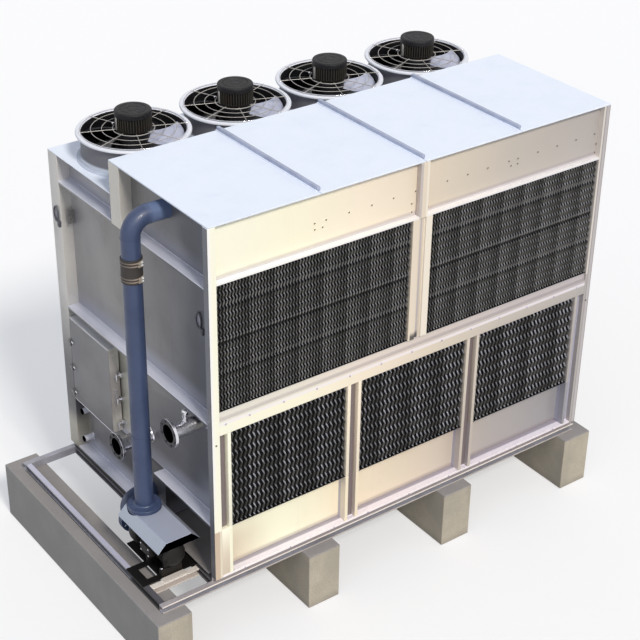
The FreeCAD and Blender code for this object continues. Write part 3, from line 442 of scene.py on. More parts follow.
# Bands on the grey walls: each is darker below the middle ledge; on the left end, painted light on the panel
# beside the door, a low strip of painted shade, lighter near the rear foot, painted shade on the front part
# between the middle and upper ledges, a painted lavender sheen low at the front, and the ledges' painted
# light and shade.
WALL_STEEL = sheet_metal("wall_steel", WALL_PAINTED_SHADING, 1, (84, 82, 84), 0.35, 0.45, 0.34, [
    (0.42, (78, 78, 86), (2, 1.94, 1.5)),
    (0.75, (206, 204, 190), (1, 0.1, 0.22), (1, 0.336, 0.33), (2, 1.08, 1.14), (2, 1.9, 1.86), LEFT_END),
    (0.45, (70, 72, 80), (2, 0.98, 0.9), (2, 0.7, 0.78), (1, 0.5, 0.3), LEFT_END),
    (0.5, (206, 200, 180), (1, 0.86, 0.94), (2, 1.02, 0.82), LEFT_END),
    (0.5, (78, 80, 90), (1, -0.7, -0.98), (2, 2.75, 2.35), (2, 1.9, 2.02), LEFT_END),
    (0.6, (156, 160, 172), (1, -0.66, -0.94), (2, 1.46, 1.12), (2, 0.9, 1.0), LEFT_END),
    *ledge_bands((3.04, 0.35), (1.96, 0.6), (1.08, 0.5), (0.62, 0.6))])
BAY_STEEL = sheet_metal("bay_steel", WALL_PAINTED_SHADING, 1, (80, 78, 78), 0.4, 0.1, 0.5, [
    (0.8, (150, 144, 142), (2, 1.06, 1.0))])
ROOF = paint("white_roof", (232, 239, 252), (224, 232, 248), 0.32)
SEAM = paint("seam_steel", (168, 176, 198), (132, 138, 160), 0.4, metallic=0.2)
ZINC = galvanised("galvanised")
# Painted light and shade on the skid beams: painted highlights on the lit lips and tops, painted shade on the
# recessed front web, on the middle beam's web top and on the outer side of the left beam; the left beam is
# also darker over its front part.
FRONT_BEAM = galvanised("front_beam_zinc", [
    (0.8, (190, 180, 178), (2, 0.5625, 0.5632)),
    (0.9, (236, 226, 216), (1, -1.117, -1.12), (2, 0.548, 0.551)),
    (0.85, (124, 112, 104), (2, 0.549, 0.546), (2, 0.514, 0.517)),
    (0.8, (188, 178, 170), (1, -1.117, -1.12), (2, 0.516, 0.513))])
LEFT_BEAM = galvanised("left_beam_zinc", [
    (0.8, (198, 198, 218), BEAM_TOP, (0, -2.056, -2.052)),
    (0.95, (56, 54, 56), (0, -2.06, -2.0618)),
    (0.85, (54, 52, 52), (1, -0.62, -0.68))])
BAY_BEAM = galvanised("bay_beam_zinc", [
    (0.9, (214, 204, 196), WEB_TOP), (0.9, (246, 238, 230), BEAM_TOP)])
MIDDLE_BEAM = galvanised("middle_beam_zinc", [(0.8, (96, 92, 92), WEB_TOP)])
PALE_BOLT = paint("bolt_zinc", (196, 186, 204), (150, 140, 158), 0.4)
# Painted shade: the flange faces of the nozzles are painted dark, as the shade and dark reflection they show.
FLANGE_FACE_PAINTED_SHADE = paint("nozzle_flange", (24, 24, 32), (50, 49, 58), 0.45)
# Painted light on the fan stacks: a pale painted highlight on the rim and on the foot ring, the upright wall
# between them painted darker as shade, and the throat inside painted near black as its shade.
STACK_PLASTIC_PAINTED_LIGHT = sheet_metal("stack_plastic", [
    (3.25, (192, 200, 214)), (3.29, (176, 184, 198)), (3.305, (98, 98, 105)),
    (3.435, (110, 109, 116)), (3.446, (216, 218, 228)), (3.47, (226, 228, 236))],
    2, (140, 140, 150), 0.2, 0.0, 0.4)
STACK_BORE_PAINTED_SHADE = paint("stack_bore_painted_shade", (16, 16, 19), (30, 30, 34), 0.5, shine=0.2)
BLACK = paint("motor_black", (26, 24, 23), (46, 41, 36), 0.45, shine=0.25)
# The black pump base has a painted highlight on its front face.
BASE_BLACK = paint("base_black", (13, 12, 12), (26, 23, 21), 0.6, shine=0.15,
                   bands=[(0.95, (206, 198, 190), (1, -0.846, -0.852))])
CAP = paint("motor_cap", (20, 20, 23), (46, 45, 50), 0.5, fine=60.0, depth=0.004, shine=0.25)
FIN = paint("motor_fin", (50, 47, 41), (34, 31, 26), 0.5)
BLADE = paint("blade_black", (24, 24, 27), (44, 44, 50), 0.3, shine=0.3)
# Painted highlight: one blade of each rotor is painted pale, as if lit.
PAINTED_LIT_BLADE = paint("blade_painted_light", (184, 188, 208), (136, 140, 162), 0.3)
WIRE = paint("guard_wire", (178, 174, 170), (146, 142, 138), 0.4, metallic=0.2)
# The blue pipe is painted lighter along the elbow run under the roof edge, as painted light against the
# shadow there.
BLUE = paint("blue_pipe", (57, 70, 101), (47, 58, 88), 0.42, coat=0.1,
             bands=[(0.9, (96, 112, 146), (0, -1.71, -1.64), (2, 3.1, 3.16))])
RUBBER = paint("rubber", (50, 46, 44), (66, 58, 52), 0.7)
# Painted light on the coupling clamps: dark at the left, a bright painted highlight towards the right, then
# darker again.
CLAMP_PAINTED_SHEEN = sheet_metal("clamp_steel_painted_sheen", [
    (-1.89, (96, 88, 82)), (-1.83, (150, 134, 122)), (-1.79, (178, 166, 152)),
    (-1.775, (246, 246, 244)), (-1.75, (190, 186, 176)), (-1.72, (120, 112, 100))],
    0, (60, 54, 48), 0.5, 0.3, 0.3)
STEEL = polished("stainless", (222, 222, 228))
SHACKLE = paint("shackle_steel", (78, 79, 86), (56, 56, 62), 0.5)
HINGE = paint("hinge_steel", (132, 130, 128), (104, 102, 101), 0.4, metallic=0.2)
# The hood is painted darker at its back right, next to the riser, as painted shade.
HOOD = sheet_metal("hood_sheet", [
    (-2.0, (166, 174, 188)), (-1.925, (166, 174, 188)), (-1.918, (166, 172, 190)),
    (-1.6, (172, 176, 192))], 0, (150, 154, 164), 0.5, 0.15, 0.4, [
    (0.7, (104, 114, 130), (1, -0.66, -0.46), (0, -1.93, -1.91))])
DOT = paint("hole_dark", (96, 88, 80), (60, 54, 50), 0.6)
CELL = paint("cell_black", (14, 14, 14), (28, 28, 27), 0.5, shine=0.1)
# Painted shadow: near black for the insides of bores and mouths, as their shade.
OPENING_PAINTED_SHADOW = paint("opening_painted_shadow", (4, 4, 4), (8, 8, 8), 0.8, shine=0.0)
# Painted highlight: the port tubes are painted pale.
PORT_TUBE_PAINTED_HIGHLIGHT = paint("port_tube_painted_highlight", (222, 222, 230), (184, 184, 194), 0.3)
LOW_BLOCKS = (0.305, -1.615)
HIGH_BLOCKS = (0.2075, -1.688, ((2.615, 0.7), (2.885, 0.5), (2.36, 0.5)))
# Painted light: each rib plastic comes twice, a pale copy painted lit and a dark copy painted as shade.
LOW_RIB_PAINTED_LIT = cell_plastic("low_cell", (78, 76, 74), (228, 228, 236), *LOW_BLOCKS)
LOW_RIB_PAINTED_SHADE = cell_plastic("low_cell_painted_shade", (27, 27, 26), (100, 98, 96), *LOW_BLOCKS)
HIGH_RIB_PAINTED_LIT = cell_plastic("high_cell", (90, 88, 86), (206, 204, 208), *HIGH_BLOCKS)
HIGH_RIB_PAINTED_SHADE = cell_plastic("high_cell_painted_shade", (39, 38, 36), (122, 120, 116), *HIGH_BLOCKS)


# Shapes
def at(x, y, z, aim="z", turn=0.0):
    """A place, with the shape's own upright turned to an axis."""
    return Matrix.Translation((x, y, z)) @ AIMS[aim] @ Matrix.Rotation(turn, 4, "Z")


def around(place, count, first=0.0):
    """A place turned evenly about its own upright, from a first angle."""
    return [place @ Matrix.Rotation(first + FULL_TURN * k / count, 4, "Z") for k in range(count)]


def on_circle(place, radius, count, first=0.5):
    """Places evenly on a circle, turned as its middle is. The first is a share of a step."""
    angles = [FULL_TURN * (k + first) / count for k in range(count)]
    return [place @ at(radius * math.cos(angle), radius * math.sin(angle), 0) for angle in angles]


def outward(bm):
    """Makes every face of a shape look outwards."""
    bmesh.ops.recalc_face_normals(bm, faces=bm.faces)
    return bm


def block(low, high, round_by=0.0, steps=2):
    """A box between two corners, its edges rounded."""
    bm = bmesh.new()
    low, high = Vector(low), Vector(high)
    bmesh.ops.create_cube(bm, size=1.0)
    bmesh.ops.scale(bm, vec=high - low, verts=bm.verts)
    bmesh.ops.translate(bm, vec=(low + high) / 2, verts=bm.verts)
    if round_by:
        bmesh.ops.bevel(bm, geom=bm.edges[:], offset=round_by, segments=steps, profile=0.5, affect="EDGES",
                        material=-1)
    return bm


def turned(profile, steps=48, closed=False):
    """A lathe shape: a line of radius and height points, spun about the upright."""
    bm = bmesh.new()
    line = [bm.verts.new((radius, 0.0, height)) for radius, height in profile]
    edges = [bm.edges.new(pair) for pair in zip(line, line[1:] + line[:1] * closed)]
    bmesh.ops.spin(bm, geom=line + edges, cent=(0, 0, 0), axis=(0, 0, 1), angle=FULL_TURN, steps=steps,
                   use_merge=True, use_duplicate=False)
    bmesh.ops.remove_doubles(bm, verts=bm.verts, dist=1e-6)
    return outward(bm)


def rod(radius, length, steps=32, round_by=0.0):
    """A round bar that stands on its end."""
    foot = [(0, 0), (radius, 0)]
    if round_by:
        foot = [(0, 0), (radius - round_by, 0), (radius - round_by * 0.3, round_by * 0.3),
                (radius, round_by)]
    return turned(foot + [(reach, length - height) for reach, height in reversed(foot)], steps)


def pipe(outer, inner, length, steps=40):
    return turned([(outer, 0), (outer, length), (inner, length), (inner, 0)], steps, closed=True)


def hoop(radius, thick, steps=64, sides=8):
    """A round wire bent into a ring."""
    points = [(radius + thick * math.cos(FULL_TURN * k / sides), thick * math.sin(FULL_TURN * k / sides))
              for k in range(sides)]
    return turned(points, steps, closed=True)


def elbow(radius, bend, steps=14, sides=40):
    """A pipe bend that starts upright at the origin and turns towards +X."""
    bm = bmesh.new()
    bmesh.ops.create_circle(bm, cap_ends=False, segments=sides, radius=radius)
    bmesh.ops.spin(bm, geom=bm.verts[:] + bm.edges[:], cent=(bend, 0, 0), axis=(0, 1, 0), angle=QUARTER,
                   steps=steps, use_duplicate=False)
    bmesh.ops.holes_fill(bm, edges=[edge for edge in bm.edges if edge.is_boundary])
    return outward(bm)


def bolt(size, tall=None):
    """A hexagon head on a washer."""
    tall = tall or size * 0.7
    bm = rod(size * 1.25, size * 0.18, 18)
    head = bmesh.new()
    bmesh.ops.create_cone(head, cap_ends=True, segments=6, radius1=size, radius2=size, depth=tall)
    bmesh.ops.translate(head, vec=(0, 0, tall / 2 + size * 0.16), verts=head.verts)
    top = [edge for edge in head.edges if all(v.co.z > tall * 0.6 for v in edge.verts)]
    bmesh.ops.bevel(head, geom=top, offset=size * 0.14, segments=1, profile=0.5, affect="EDGES", material=-1)
    return add(bm, head)


def rivet(size):
    """A low domed rivet head on a thin flange."""
    profile = ((0, 0), (1.5, 0), (1.5, 0.14), (1, 0.2), (0.8, 0.5), (0.4, 0.68), (0, 0.72))
    return turned([(size * radius, size * height) for radius, height in profile], 14)


def add(bm, part, *places, finish=None):
    """Sets copies of a shape into a piece. They keep their own finishes where none is given."""
    if finish is not None:
        for face in part.faces:
            face.material_index = finish
    held = bpy.data.meshes.new("part")
    part.to_mesh(held)
    part.free()
    for place in places or (Matrix.Identity(4),):
        held.transform(place)
        bm.from_mesh(held)
        held.transform(place.inverted())
    bpy.data.meshes.remove(held)
    return bm


def piece(name, bm, finishes, slot, *stands_for, body="tower", crease=35, round_by=0.0, steps=2):
    """A finished shape as a piece that stands for nodes and rides on a body, its edges rounded if asked."""
    mesh = bpy.data.meshes.new(name)
    bm.to_mesh(mesh)
    bm.free()
    for finish in finishes:
        mesh.materials.append(finish)
    mesh.shade_smooth()
    mesh.set_sharp_from_angle(angle=math.radians(crease))
    made = bpy.data.objects.new(name, mesh)
    scene.collection.objects.link(made)
    if round_by:
        edge = made.modifiers.new("edges", "BEVEL")
        edge.width = round_by
        edge.segments = steps
        edge.limit_method = "ANGLE"
        edge.angle_limit = math.radians(38)
        edge.harden_normals = True
    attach(made, body)
    if stands_for:
        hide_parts(*stands_for)


def rounded(node, finish, slot, width, steps=2, body="tower"):
    """A node's own shape with its flat faces made whole, its edges rounded and its finish."""
    bm = bmesh.new()
    bm.from_mesh(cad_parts[node].data)
    bmesh.ops.remove_doubles(bm, verts=bm.verts, dist=2e-5)
    bmesh.ops.dissolve_limit(bm, angle_limit=math.radians(0.6), verts=bm.verts, edges=bm.edges,
                             delimit={"NORMAL"})
    for face in bm.faces:
        face.material_index = 0
    piece(node + "_skin", bm, [finish], slot, node, body=body, round_by=width, steps=steps)


# Pieces that keep the frame's shapes: slot, width and steps of the edges, finishes
for slot, width, steps, finishes in (
        ("concrete", 0.009, 3, {f"plinth_{number}": CONCRETE for number in range(1, 5)}),
        ("galvanised_steel", 0.003, 2, {
            "skid_front_beam": FRONT_BEAM, "skid_rear_beam": ZINC, "skid_left_beam": LEFT_BEAM,
            "skid_middle_beam": MIDDLE_BEAM, "skid_right_beam": ZINC, "skid_bay_beam": BAY_BEAM}),
        ("cream_steel", 0.0028, 2, {
            "front_left_post": LEFT_POST, "front_right_post": RIGHT_POST, "front_middle_post": MIDDLE_POST,
            "front_mid_rail": RAIL, "front_fascia": FASCIA, "inlet_frame": INLET, "lower_panels": PANEL}),
        ("grey_steel", 0.0028, 2, {
            "rear_posts": POST_STEEL, "left_upper_panels": WALL_STEEL, "left_middle_panel": WALL_STEEL,
            "left_lower_panel": WALL_STEEL, "left_door_header": WALL_STEEL, "left_sump_panel": WALL_STEEL,
            "pump_recess": BAY_STEEL, "right_end_panels": WALL_STEEL, "rear_panels": WALL_STEEL,
            "sump_floor": BAY_STEEL, "box_back_wall": POST_STEEL, "lifting_lugs": HINGE}),
        ("white_roof", 0.003, 2, {"roof_sheets": ROOF}),
        ("hood_sheet", 0.0015, 2, {"pump_hood": HOOD}),
        ("motor_black", 0.002, 2, {"pump_base": BASE_BLACK}),
        ("screen_plastic", 0.004, 2, {"fill_pack": CELL})):
    for node, finish in finishes.items():
        rounded(node, finish, slot, width, steps)


# Inlet screens: wavy ribs on a dark ground. A stop is a share of the period, its swing and its width.
RIB_WAVE = ((0.0, -1.0, 0.4), (0.12, -0.62, 0.8), (0.26, 0.05, 0.95), (0.42, 0.8, 0.7), (0.5, 1.0, 0.4),
            (0.75, 0.0, 0.62))


def rib(height, period, sway, wide, deep):
    """One upright wavy rib. Its falling stretch is broad and pale, its return is thin and dark: painted-lit
    and painted-shade copies of one plastic.
    """
    bm = bmesh.new()
    ring = bmesh.ops.create_circle(bm, cap_ends=False, segments=4, radius=0.5)["verts"]
    edges = bm.edges[:]
    swing, size = RIB_WAVE[0][1] * sway, RIB_WAVE[0][2]
    bmesh.ops.scale(bm, vec=(wide * size, deep, 1), verts=ring)
    bmesh.ops.translate(bm, vec=(swing, 0, 0), verts=ring)
    level = 0.0
    stops = [((turn + share) * period, offset * sway, width, share)
             for turn in range(int(height / period) + 1) for share, offset, width in RIB_WAVE]
    for down, offset, width, share in stops[1:]:
        down = min(down, height)
        made = bmesh.ops.extrude_edge_only(bm, edges=edges)["geom"]
        ring = [item for item in made if isinstance(item, bmesh.types.BMVert)]
        edges = [item for item in made if isinstance(item, bmesh.types.BMEdge)]
        for face in made:
            if isinstance(face, bmesh.types.BMFace):
                # The falling stretch takes the painted-lit copy of the plastic, the return the painted-shade
                # copy.
                face.material_index = 1 if 0.1 < share < 0.55 else 2
        bmesh.ops.scale(bm, vec=(width / size, 1, 1), verts=ring, space=Matrix.Translation((-swing, 0, 0)))
        bmesh.ops.translate(bm, vec=(offset - swing, 0, level - down), verts=ring)
        level, swing, size = down, offset, width
        if level >= height:
            break
    bmesh.ops.holes_fill(bm, edges=[edge for edge in bm.edges if edge.is_boundary])
    return outward(bm)


def screen(name, node, bays, setback, period, pitch, sway, wide, deep, pale, dim):
    """The ribs of some bays, their edges behind the node's front face, with a dark ground at the back."""
    low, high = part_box(node)
    face = low.y + setback
    bm = bmesh.new()
    for start, end in bays:
        add(bm, block((start, face + deep, low.z), (end, high.y, high.z)))
        add(bm, block((start, face - 0.001, low.z), (end, face + deep, low.z + 0.006)))
        count = round((end - start) / pitch)
        step = (end - start) / count
        add(bm, rib(high.z - low.z, period, sway, wide, deep),
            *[at(start + (number + 0.5) * step, face + deep / 2, high.z) for number in range(count)])
    piece(name, bm, [CELL, pale, dim], "screen_plastic", node, crease=20)


MODULES = 3
MODULE_GAP = 0.07
STRIP = 0.028
post_low, post_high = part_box("front_middle_post")
low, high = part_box("upper_screens")
screen("upper_screen_cells", "upper_screens", [(low.x, post_low.x), (post_high.x, high.x)], setback=0,
       period=0.0578, pitch=0.026, sway=0.0056, wide=0.0105, deep=0.018, pale=HIGH_RIB_PAINTED_LIT, dim=HIGH_RIB_PAINTED_SHADE)
low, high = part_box("lower_screens")
module = (high.x - low.x - (MODULES - 1) * MODULE_GAP) / MODULES
module_starts = [low.x + number * (module + MODULE_GAP) for number in range(MODULES)]
screen("lower_screen_cells", "lower_screens",
       [(start + STRIP, start + module - STRIP) for start in module_starts], setback=0.012,
       period=0.0895, pitch=0.0379, sway=0.0085, wide=0.0142, deep=0.024, pale=LOW_RIB_PAINTED_LIT, dim=LOW_RIB_PAINTED_SHADE)
bm = bmesh.new()
for start in module_starts:
    for edge in (start, start + module - STRIP):
        add(bm, block((edge, low.y, low.z), (edge + STRIP, high.y, high.z), 0.003))
piece("lower_screen_strips", bm, [CREAM], "cream_steel")

# Rivets and bolts of the front wall
FASCIA_RECESS = 0.044
FASCIA_ROW = (-0.716, -0.619, -0.422, -0.222, -0.029, 0.172, 0.467, 0.662, 0.856, 1.064, 1.154, 1.357, 1.555,
              1.753, 1.952)
FASCIA_ROW_LEVEL = 3.274
FASCIA_PAIRS = ((-0.715, 3.226), (-0.648, 3.226), (1.088, 3.232), (1.155, 3.232), (0.1415, 3.183),
                (0.1445, 3.115), (0.2905, 3.184), (0.2945, 3.114), (1.9785, 3.185), (1.9745, 3.114))
RAIL_ROW = (-1.4955, -1.2945, -1.0005, -0.7075, -0.4085, -0.1155, 0.1775, 0.4705, 0.7635, 1.0565, 1.3495,
            1.6425, 1.8955)
RAIL_ROW_LEVEL = 1.953
fascia_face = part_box("front_fascia")[0].y + FASCIA_RECESS
bm = bmesh.new()
for x, z in [(x, FASCIA_ROW_LEVEL) for x in FASCIA_ROW] + list(FASCIA_PAIRS):
    hole = at(x, fascia_face + 0.0005, z, "-y")
    add(bm, pipe(0.013, 0.008, 0.0022, 16), hole)
    # A dark disc in each ring paints the shade of the open hole.
    add(bm, turned([(0, 0), (0.008, 0), (0.007, 0.0008), (0, 0.0008)], 12), hole, finish=1)
piece("fascia_rivets", bm, [CREAM, DOT], "cream_steel")

rail_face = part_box("front_mid_rail")[0].y
bm = bmesh.new()
add(bm, bolt(0.0066, 0.0045), *[at(x, rail_face, RAIL_ROW_LEVEL, "-y") for x in RAIL_ROW])
add(bm, bolt(0.006, 0.004), *[at(x, rail_face, 1.8, "-y") for x in (-1.5775, 2.0185)], finish=1)
add(bm, bolt(0.0055, 0.004), *[at(start + module * share, rail_face, 0.61, "-y")
                               for start in module_starts for share in (0.12, 0.5, 0.88)])
piece("front_bolts", bm, [PALE_BOLT, DOT], "cream_steel")

# Cover plate at the foot of the left channel
POST_LIP = 0.04
bm = block((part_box("front_left_post")[1].x - POST_LIP, rail_face + 0.001, 0.621),
           (low.x + STRIP, rail_face + 0.039, low.z), 0.002)
piece("left_cover_plate", bm, [COVER], "cream_steel")

# Standing seams of the roof: a narrow cap on a wider foot
ROOF_SHEETS = 4
CAP_HALF = 0.01364
FOOT_HALF = 0.022
low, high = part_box("roof_seams")
sheet_low, sheet_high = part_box("roof_sheets")
bm = bmesh.new()
for number in range(1, ROOF_SHEETS):
    x = sheet_low.x + number * (sheet_high.x - sheet_low.x) / ROOF_SHEETS
    add(bm, block((x - CAP_HALF, low.y, low.z), (x + CAP_HALF, high.y, high.z), 0.006, 3))
    add(bm, block((x - FOOT_HALF, low.y + 0.004, low.z), (x + FOOT_HALF, high.y, low.z + 0.006), 0.002),
        finish=1)
piece("roof_seam_caps", bm, [SEAM, ROOF], "seam_steel", "roof_seams")

# Fans
RIM_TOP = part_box("fan_stack_1")[1].z
DECK = RIM_TOP - 0.214
THROAT = 0.385
STACK = [(THROAT, -0.006), (0.431, -0.006), (0.431, 0.008), (0.4285, 0.012), (0.42, 0.0135), (0.4175, 0.017),
         (0.4165, 0.03), (0.414, 0.0345), (0.4055, 0.037), (0.4025, 0.041), (0.4, 0.052), (0.3975, 0.075),
         (0.3965, 0.12), (0.3975, 0.165), (0.402, 0.18), (0.4125, 0.19), (0.425, 0.1935), (0.4295, 0.197),
         (0.431, 0.2015), (0.43, 0.208), (0.4265, 0.2125), (0.421, 0.214), (0.402, 0.2135), (0.396, 0.2115),
         (0.391, 0.206), (0.3875, 0.192), (0.3858, 0.15), (THROAT, 0.1)]
RINGS = [(0.155, 0.0036), (0.236, 0.0027), (0.317, 0.0027), (0.3965, 0.0026)]
SPOKES = 8
SPOKE_TURN = math.radians(24)
BLADES = 5
BLADE_TURN = math.radians(21)
FINS = 42
VANES = 12
STACK_BOLTS = 12
SHEET = 0.0055
PLATE_TOP = DECK - 0.0005
guards = bmesh.new()


def deck_plate(low, high, x, y):
    """The sheet under a stack, with a round hole."""
    bm = bmesh.new()
    bmesh.ops.create_circle(bm, cap_ends=False, segments=96, radius=0.42)
    bmesh.ops.translate(bm, vec=(x, y, PLATE_TOP), verts=bm.verts)
    outline = ((low.x, low.y), (high.x, low.y), (high.x, high.y), (low.x, high.y))
    corners = [bm.verts.new((*corner, PLATE_TOP)) for corner in outline]
    for pair in zip(corners, corners[1:] + corners[:1]):
        bm.edges.new(pair)
    bmesh.ops.triangle_fill(bm, use_beauty=True, edges=bm.edges[:])
    bmesh.ops.solidify(bm, geom=bm.faces[:], thickness=SHEET)
    return outward(bm)


def fan_blade():
    """A swept, twisted blade along +X, from the hub to the tip."""
    bm = bmesh.new()
    bmesh.ops.create_grid(bm, x_segments=14, y_segments=12, size=0.5)
    for vert in bm.verts:
        span, share = vert.co.x + 0.5, vert.co.y
        radius = 0.105 + 0.271 * span
        chord = 0.16 + 0.165 * span
        pitch = math.radians(32 - 18 * span)
        sweep = math.radians(-4 + 32 * span ** 1.4)
        camber = 0.012 * (1 - (2 * share) ** 2)
        angle = sweep + share * chord * math.cos(pitch) / radius
        height = share * chord * math.sin(pitch) + camber
        vert.co = (radius * math.cos(angle), radius * math.sin(angle), height)
    bmesh.ops.solidify(bm, geom=bm.faces[:], thickness=0.006)
    return outward(bm)


for number in range(1, 5):
    low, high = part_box(f"fan_motor_{number}")
    x, y = (low.x + high.x) / 2, (low.y + high.y) / 2
    bm = turned(STACK, 96, closed=True)
    for face in bm.faces:
        middle = face.calc_center_median()
        # Faces inside the throat take the near-black painted shade of the bore.
        face.material_index = 3 if math.hypot(middle.x, middle.y) < 0.3925 else 0
    bmesh.ops.translate(bm, vec=(x, y, DECK), verts=bm.verts)
    add(bm, deck_plate(*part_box(f"fan_stack_{number}"), x, y), finish=1)
    add(bm, bolt(0.006, 0.004), *on_circle(at(x, y, DECK + 0.0122), 0.4245, STACK_BOLTS), finish=2)
    piece(f"fan_stack_shell_{number}", bm, [STACK_PLASTIC_PAINTED_LIGHT, ROOF, STEEL, STACK_BORE_PAINTED_SHADE], "stack_plastic",
          f"fan_stack_{number}", crease=30)

    # Guard of round wire, clamped to the rim
    for radius, thick in RINGS:
        add(guards, hoop(radius, thick, 72), at(x, y, RIM_TOP + 0.0042), finish=1 if radius > 0.35 else 0)
    for spoke in around(at(x, y, RIM_TOP + 0.004), SPOKES, SPOKE_TURN):
        add(guards, rod(0.003, 0.293, 8), spoke @ at(0.118, 0, 0, "x"))
        add(guards, block((0.394, -0.007, -0.0045), (0.408, 0.007, 0.003), 0.002), spoke, finish=1)
    add(guards, block((-0.109, 0.121, 0), (-0.091, 0.139, 0.022), 0.004), at(x, y, RIM_TOP + 0.001),
        finish=1)

    # External rotor motor: finned pot under a smooth domed cap
    pot = turned([
        (0, -0.136), (0.02, -0.136), (0.02, 0), (0.135, 0), (0.1375, 0.003), (0.1375, 0.01), (0.123, 0.012),
        (0.123, 0.1), (0.1375, 0.103), (0.1395, 0.106), (0.1395, 0.134), (0.1385, 0.141), (0.1345, 0.1465),
        (0.128, 0.149), (0.118, 0.1494), (0.1, 0.1492), (0.098, 0.1465), (0.0945, 0.1465), (0.0925, 0.1488),
        (0.045, 0.1492), (0.043, 0.1472), (0.0395, 0.1472), (0.0375, 0.1495), (0, 0.15)], 72)
    for face in pot.faces:
        face.material_index = 1 if face.calc_center_median().z > 0.101 else 0
    seat = at(x, y, RIM_TOP + 0.008)
    bm = add(bmesh.new(), pot, seat)
    add(bm, block((0.119, -0.003, 0.011), (0.1385, 0.003, 0.1035)), *around(seat, FINS), finish=3)
    add(bm, block((0.047, -0.004, 0.144), (0.0905, 0.004, 0.1497), 0.0014), *around(seat, VANES), finish=1)
    add(bm, block((0.126, -0.015, 0.004), (0.1395, 0.015, 0.102), 0.003),
        at(x, y, RIM_TOP + 0.008, turn=math.radians(173)), finish=2)
    piece(f"fan_motor_case_{number}", bm, [BLACK, CAP, WIRE, FIN], "motor_black",
          f"fan_motor_{number}", crease=30)

    # Impeller: hub with a rounded rim and swept blades, one of them painted pale as a painted highlight
    bm = turned([
        (0.0204, 0), (0.1195, 0), (0.12, 0.004), (0.12, 0.106), (0.116, 0.115), (0.107, 0.1195),
        (0.0204, 0.1195)], 56, closed=True)
    *shaded, lit = around(at(0, 0, 0.05), BLADES, BLADE_TURN)
    add(bm, fan_blade(), *shaded)
    add(bm, fan_blade(), lit, finish=1)
    bmesh.ops.translate(bm, vec=(x, y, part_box(f"fan_impeller_{number}")[0].z), verts=bm.verts)
    piece(f"fan_rotor_{number}", bm, [BLADE, PAINTED_LIT_BLADE], "blade_black",
          f"fan_impeller_{number}", body=f"fan_{number}", crease=40)
piece("fan_guard_wires", guards, [WIRE, STEEL], "guard_wire", "fan_guards", crease=60)

# Pump group, on the riser's upright
SHAFT = 0.775
BASE_TOP = 0.575
PIPE = 0.07
FLANGE = 0.125
riser_low, riser_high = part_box("riser_pipe")
px, py = (riser_low.x + riser_high.x) / 2, (riser_low.y + riser_high.y) / 2


def flange_bolts(bm, place, circle, size, thick, finish=None):
    """Eight bolt heads on one face of a flange and nuts behind it."""
    for spot in on_circle(place, circle, 8):
        add(bm, bolt(size), spot @ at(0, 0, thick), finish=finish)
        add(bm, bolt(size), spot @ AIMS["-z"], finish=finish)


motor_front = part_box("pump_motor")[0].y
shaft = at(px, motor_front, SHAFT, "y")
bm = add(bmesh.new(), turned([
    (0, 0), (0.05, 0.001), (0.074, 0.006), (0.086, 0.015), (0.0905, 0.03), (0.0955, 0.031), (0.0955, 0.036),
    (0.089, 0.038), (0.089, 0.322), (0.096, 0.326), (0.096, 0.352), (0.078, 0.356), (0.078, 0.375),
    (0, 0.375)], 64), shaft)
ribs = [place for k, place in enumerate(around(shaft, 36)) if not 23 <= k <= 31]
add(bm, block((0.086, -0.0018, 0.04), (0.0995, 0.0018, 0.32)), *ribs)
for radius in (0.022, 0.036, 0.05, 0.064):
    add(bm, hoop(radius, 0.0022, 40, 6), shaft @ at(0, 0, 0.0015 + radius * 0.06))
for offset in (0.072, 0.262):
    foot = at(px, motor_front + offset, BASE_TOP)
    add(bm, block((-0.09, 0, 0), (0.09, 0.036, 0.065), 0.004), foot)
    add(bm, block((-0.06, 0.006, 0.055), (0.06, 0.03, 0.125), 0.004), foot)
    add(bm, bolt(0.009), foot @ at(-0.075, 0.018, 0.065), foot @ at(0.075, 0.018, 0.065), finish=1)
    add(bm, block((-0.016, 0.002, 0.29), (0.016, 0.034, 0.401), 0.003), foot)
terminals = at(px - 0.142, motor_front + 0.142, SHAFT - 0.043)
add(bm, block((0, 0, 0), (0.052, 0.136, 0.086), 0.008, 3), terminals)
add(bm, block((-0.003, 0.004, 0.004), (0.004, 0.132, 0.082), 0.003), terminals)
add(bm, rivet(0.005), *[terminals @ at(-0.003, y, z, "-x") for y in (0.016, 0.12) for z in (0.014, 0.072)],
    finish=1)
add(bm, rod(0.014, 0.02, 20, 0.003), terminals @ at(0.026, 0.068, -0.016))
piece("pump_motor_body", bm, [BLACK, STEEL], "motor_black", "pump_motor", crease=32)

bm = add(bmesh.new(), turned([
    (0, 0.002), (0.096, 0.002), (0.104, 0.008), (0.118, 0.014), (0.128, 0.026), (0.132, 0.042),
    (0.132, 0.078), (0.128, 0.094), (0.118, 0.106), (0.1, 0.116), (0.084, 0.12), (PIPE, 0.128),
    (PIPE, 0.205), (0.124, 0.205), (FLANGE, 0.207), (FLANGE, 0.227), (0.124, 0.229), (0, 0.229)], 72),
    at(px, py - 0.06, SHAFT, "y"))
add(bm, turned([
    (0, 0), (0.082, 0.0), (0.076, 0.02), (PIPE, 0.05), (PIPE, 0.082), (0.124, 0.082), (FLANGE, 0.084),
    (FLANGE, 0.104), (0.124, 0.106), (0, 0.106)], 56), at(px, py, 0.878))
add(bm, bolt(0.007), *on_circle(at(px, py - 0.0505, SHAFT, "-y"), 0.11, 10, first=0), finish=1)
add(bm, block((px - 0.044, py - 0.03, BASE_TOP), (px + 0.044, py + 0.03, 0.7), 0.006))
for face in bm.faces:
    middle = face.calc_center_median()
    if middle.y < py + 0.016 and middle.z < 0.9:
        face.material_index = 2
piece("pump_casing", bm, [BLUE, STEEL, BLACK], "blue_pipe", "pump_volute", crease=30)

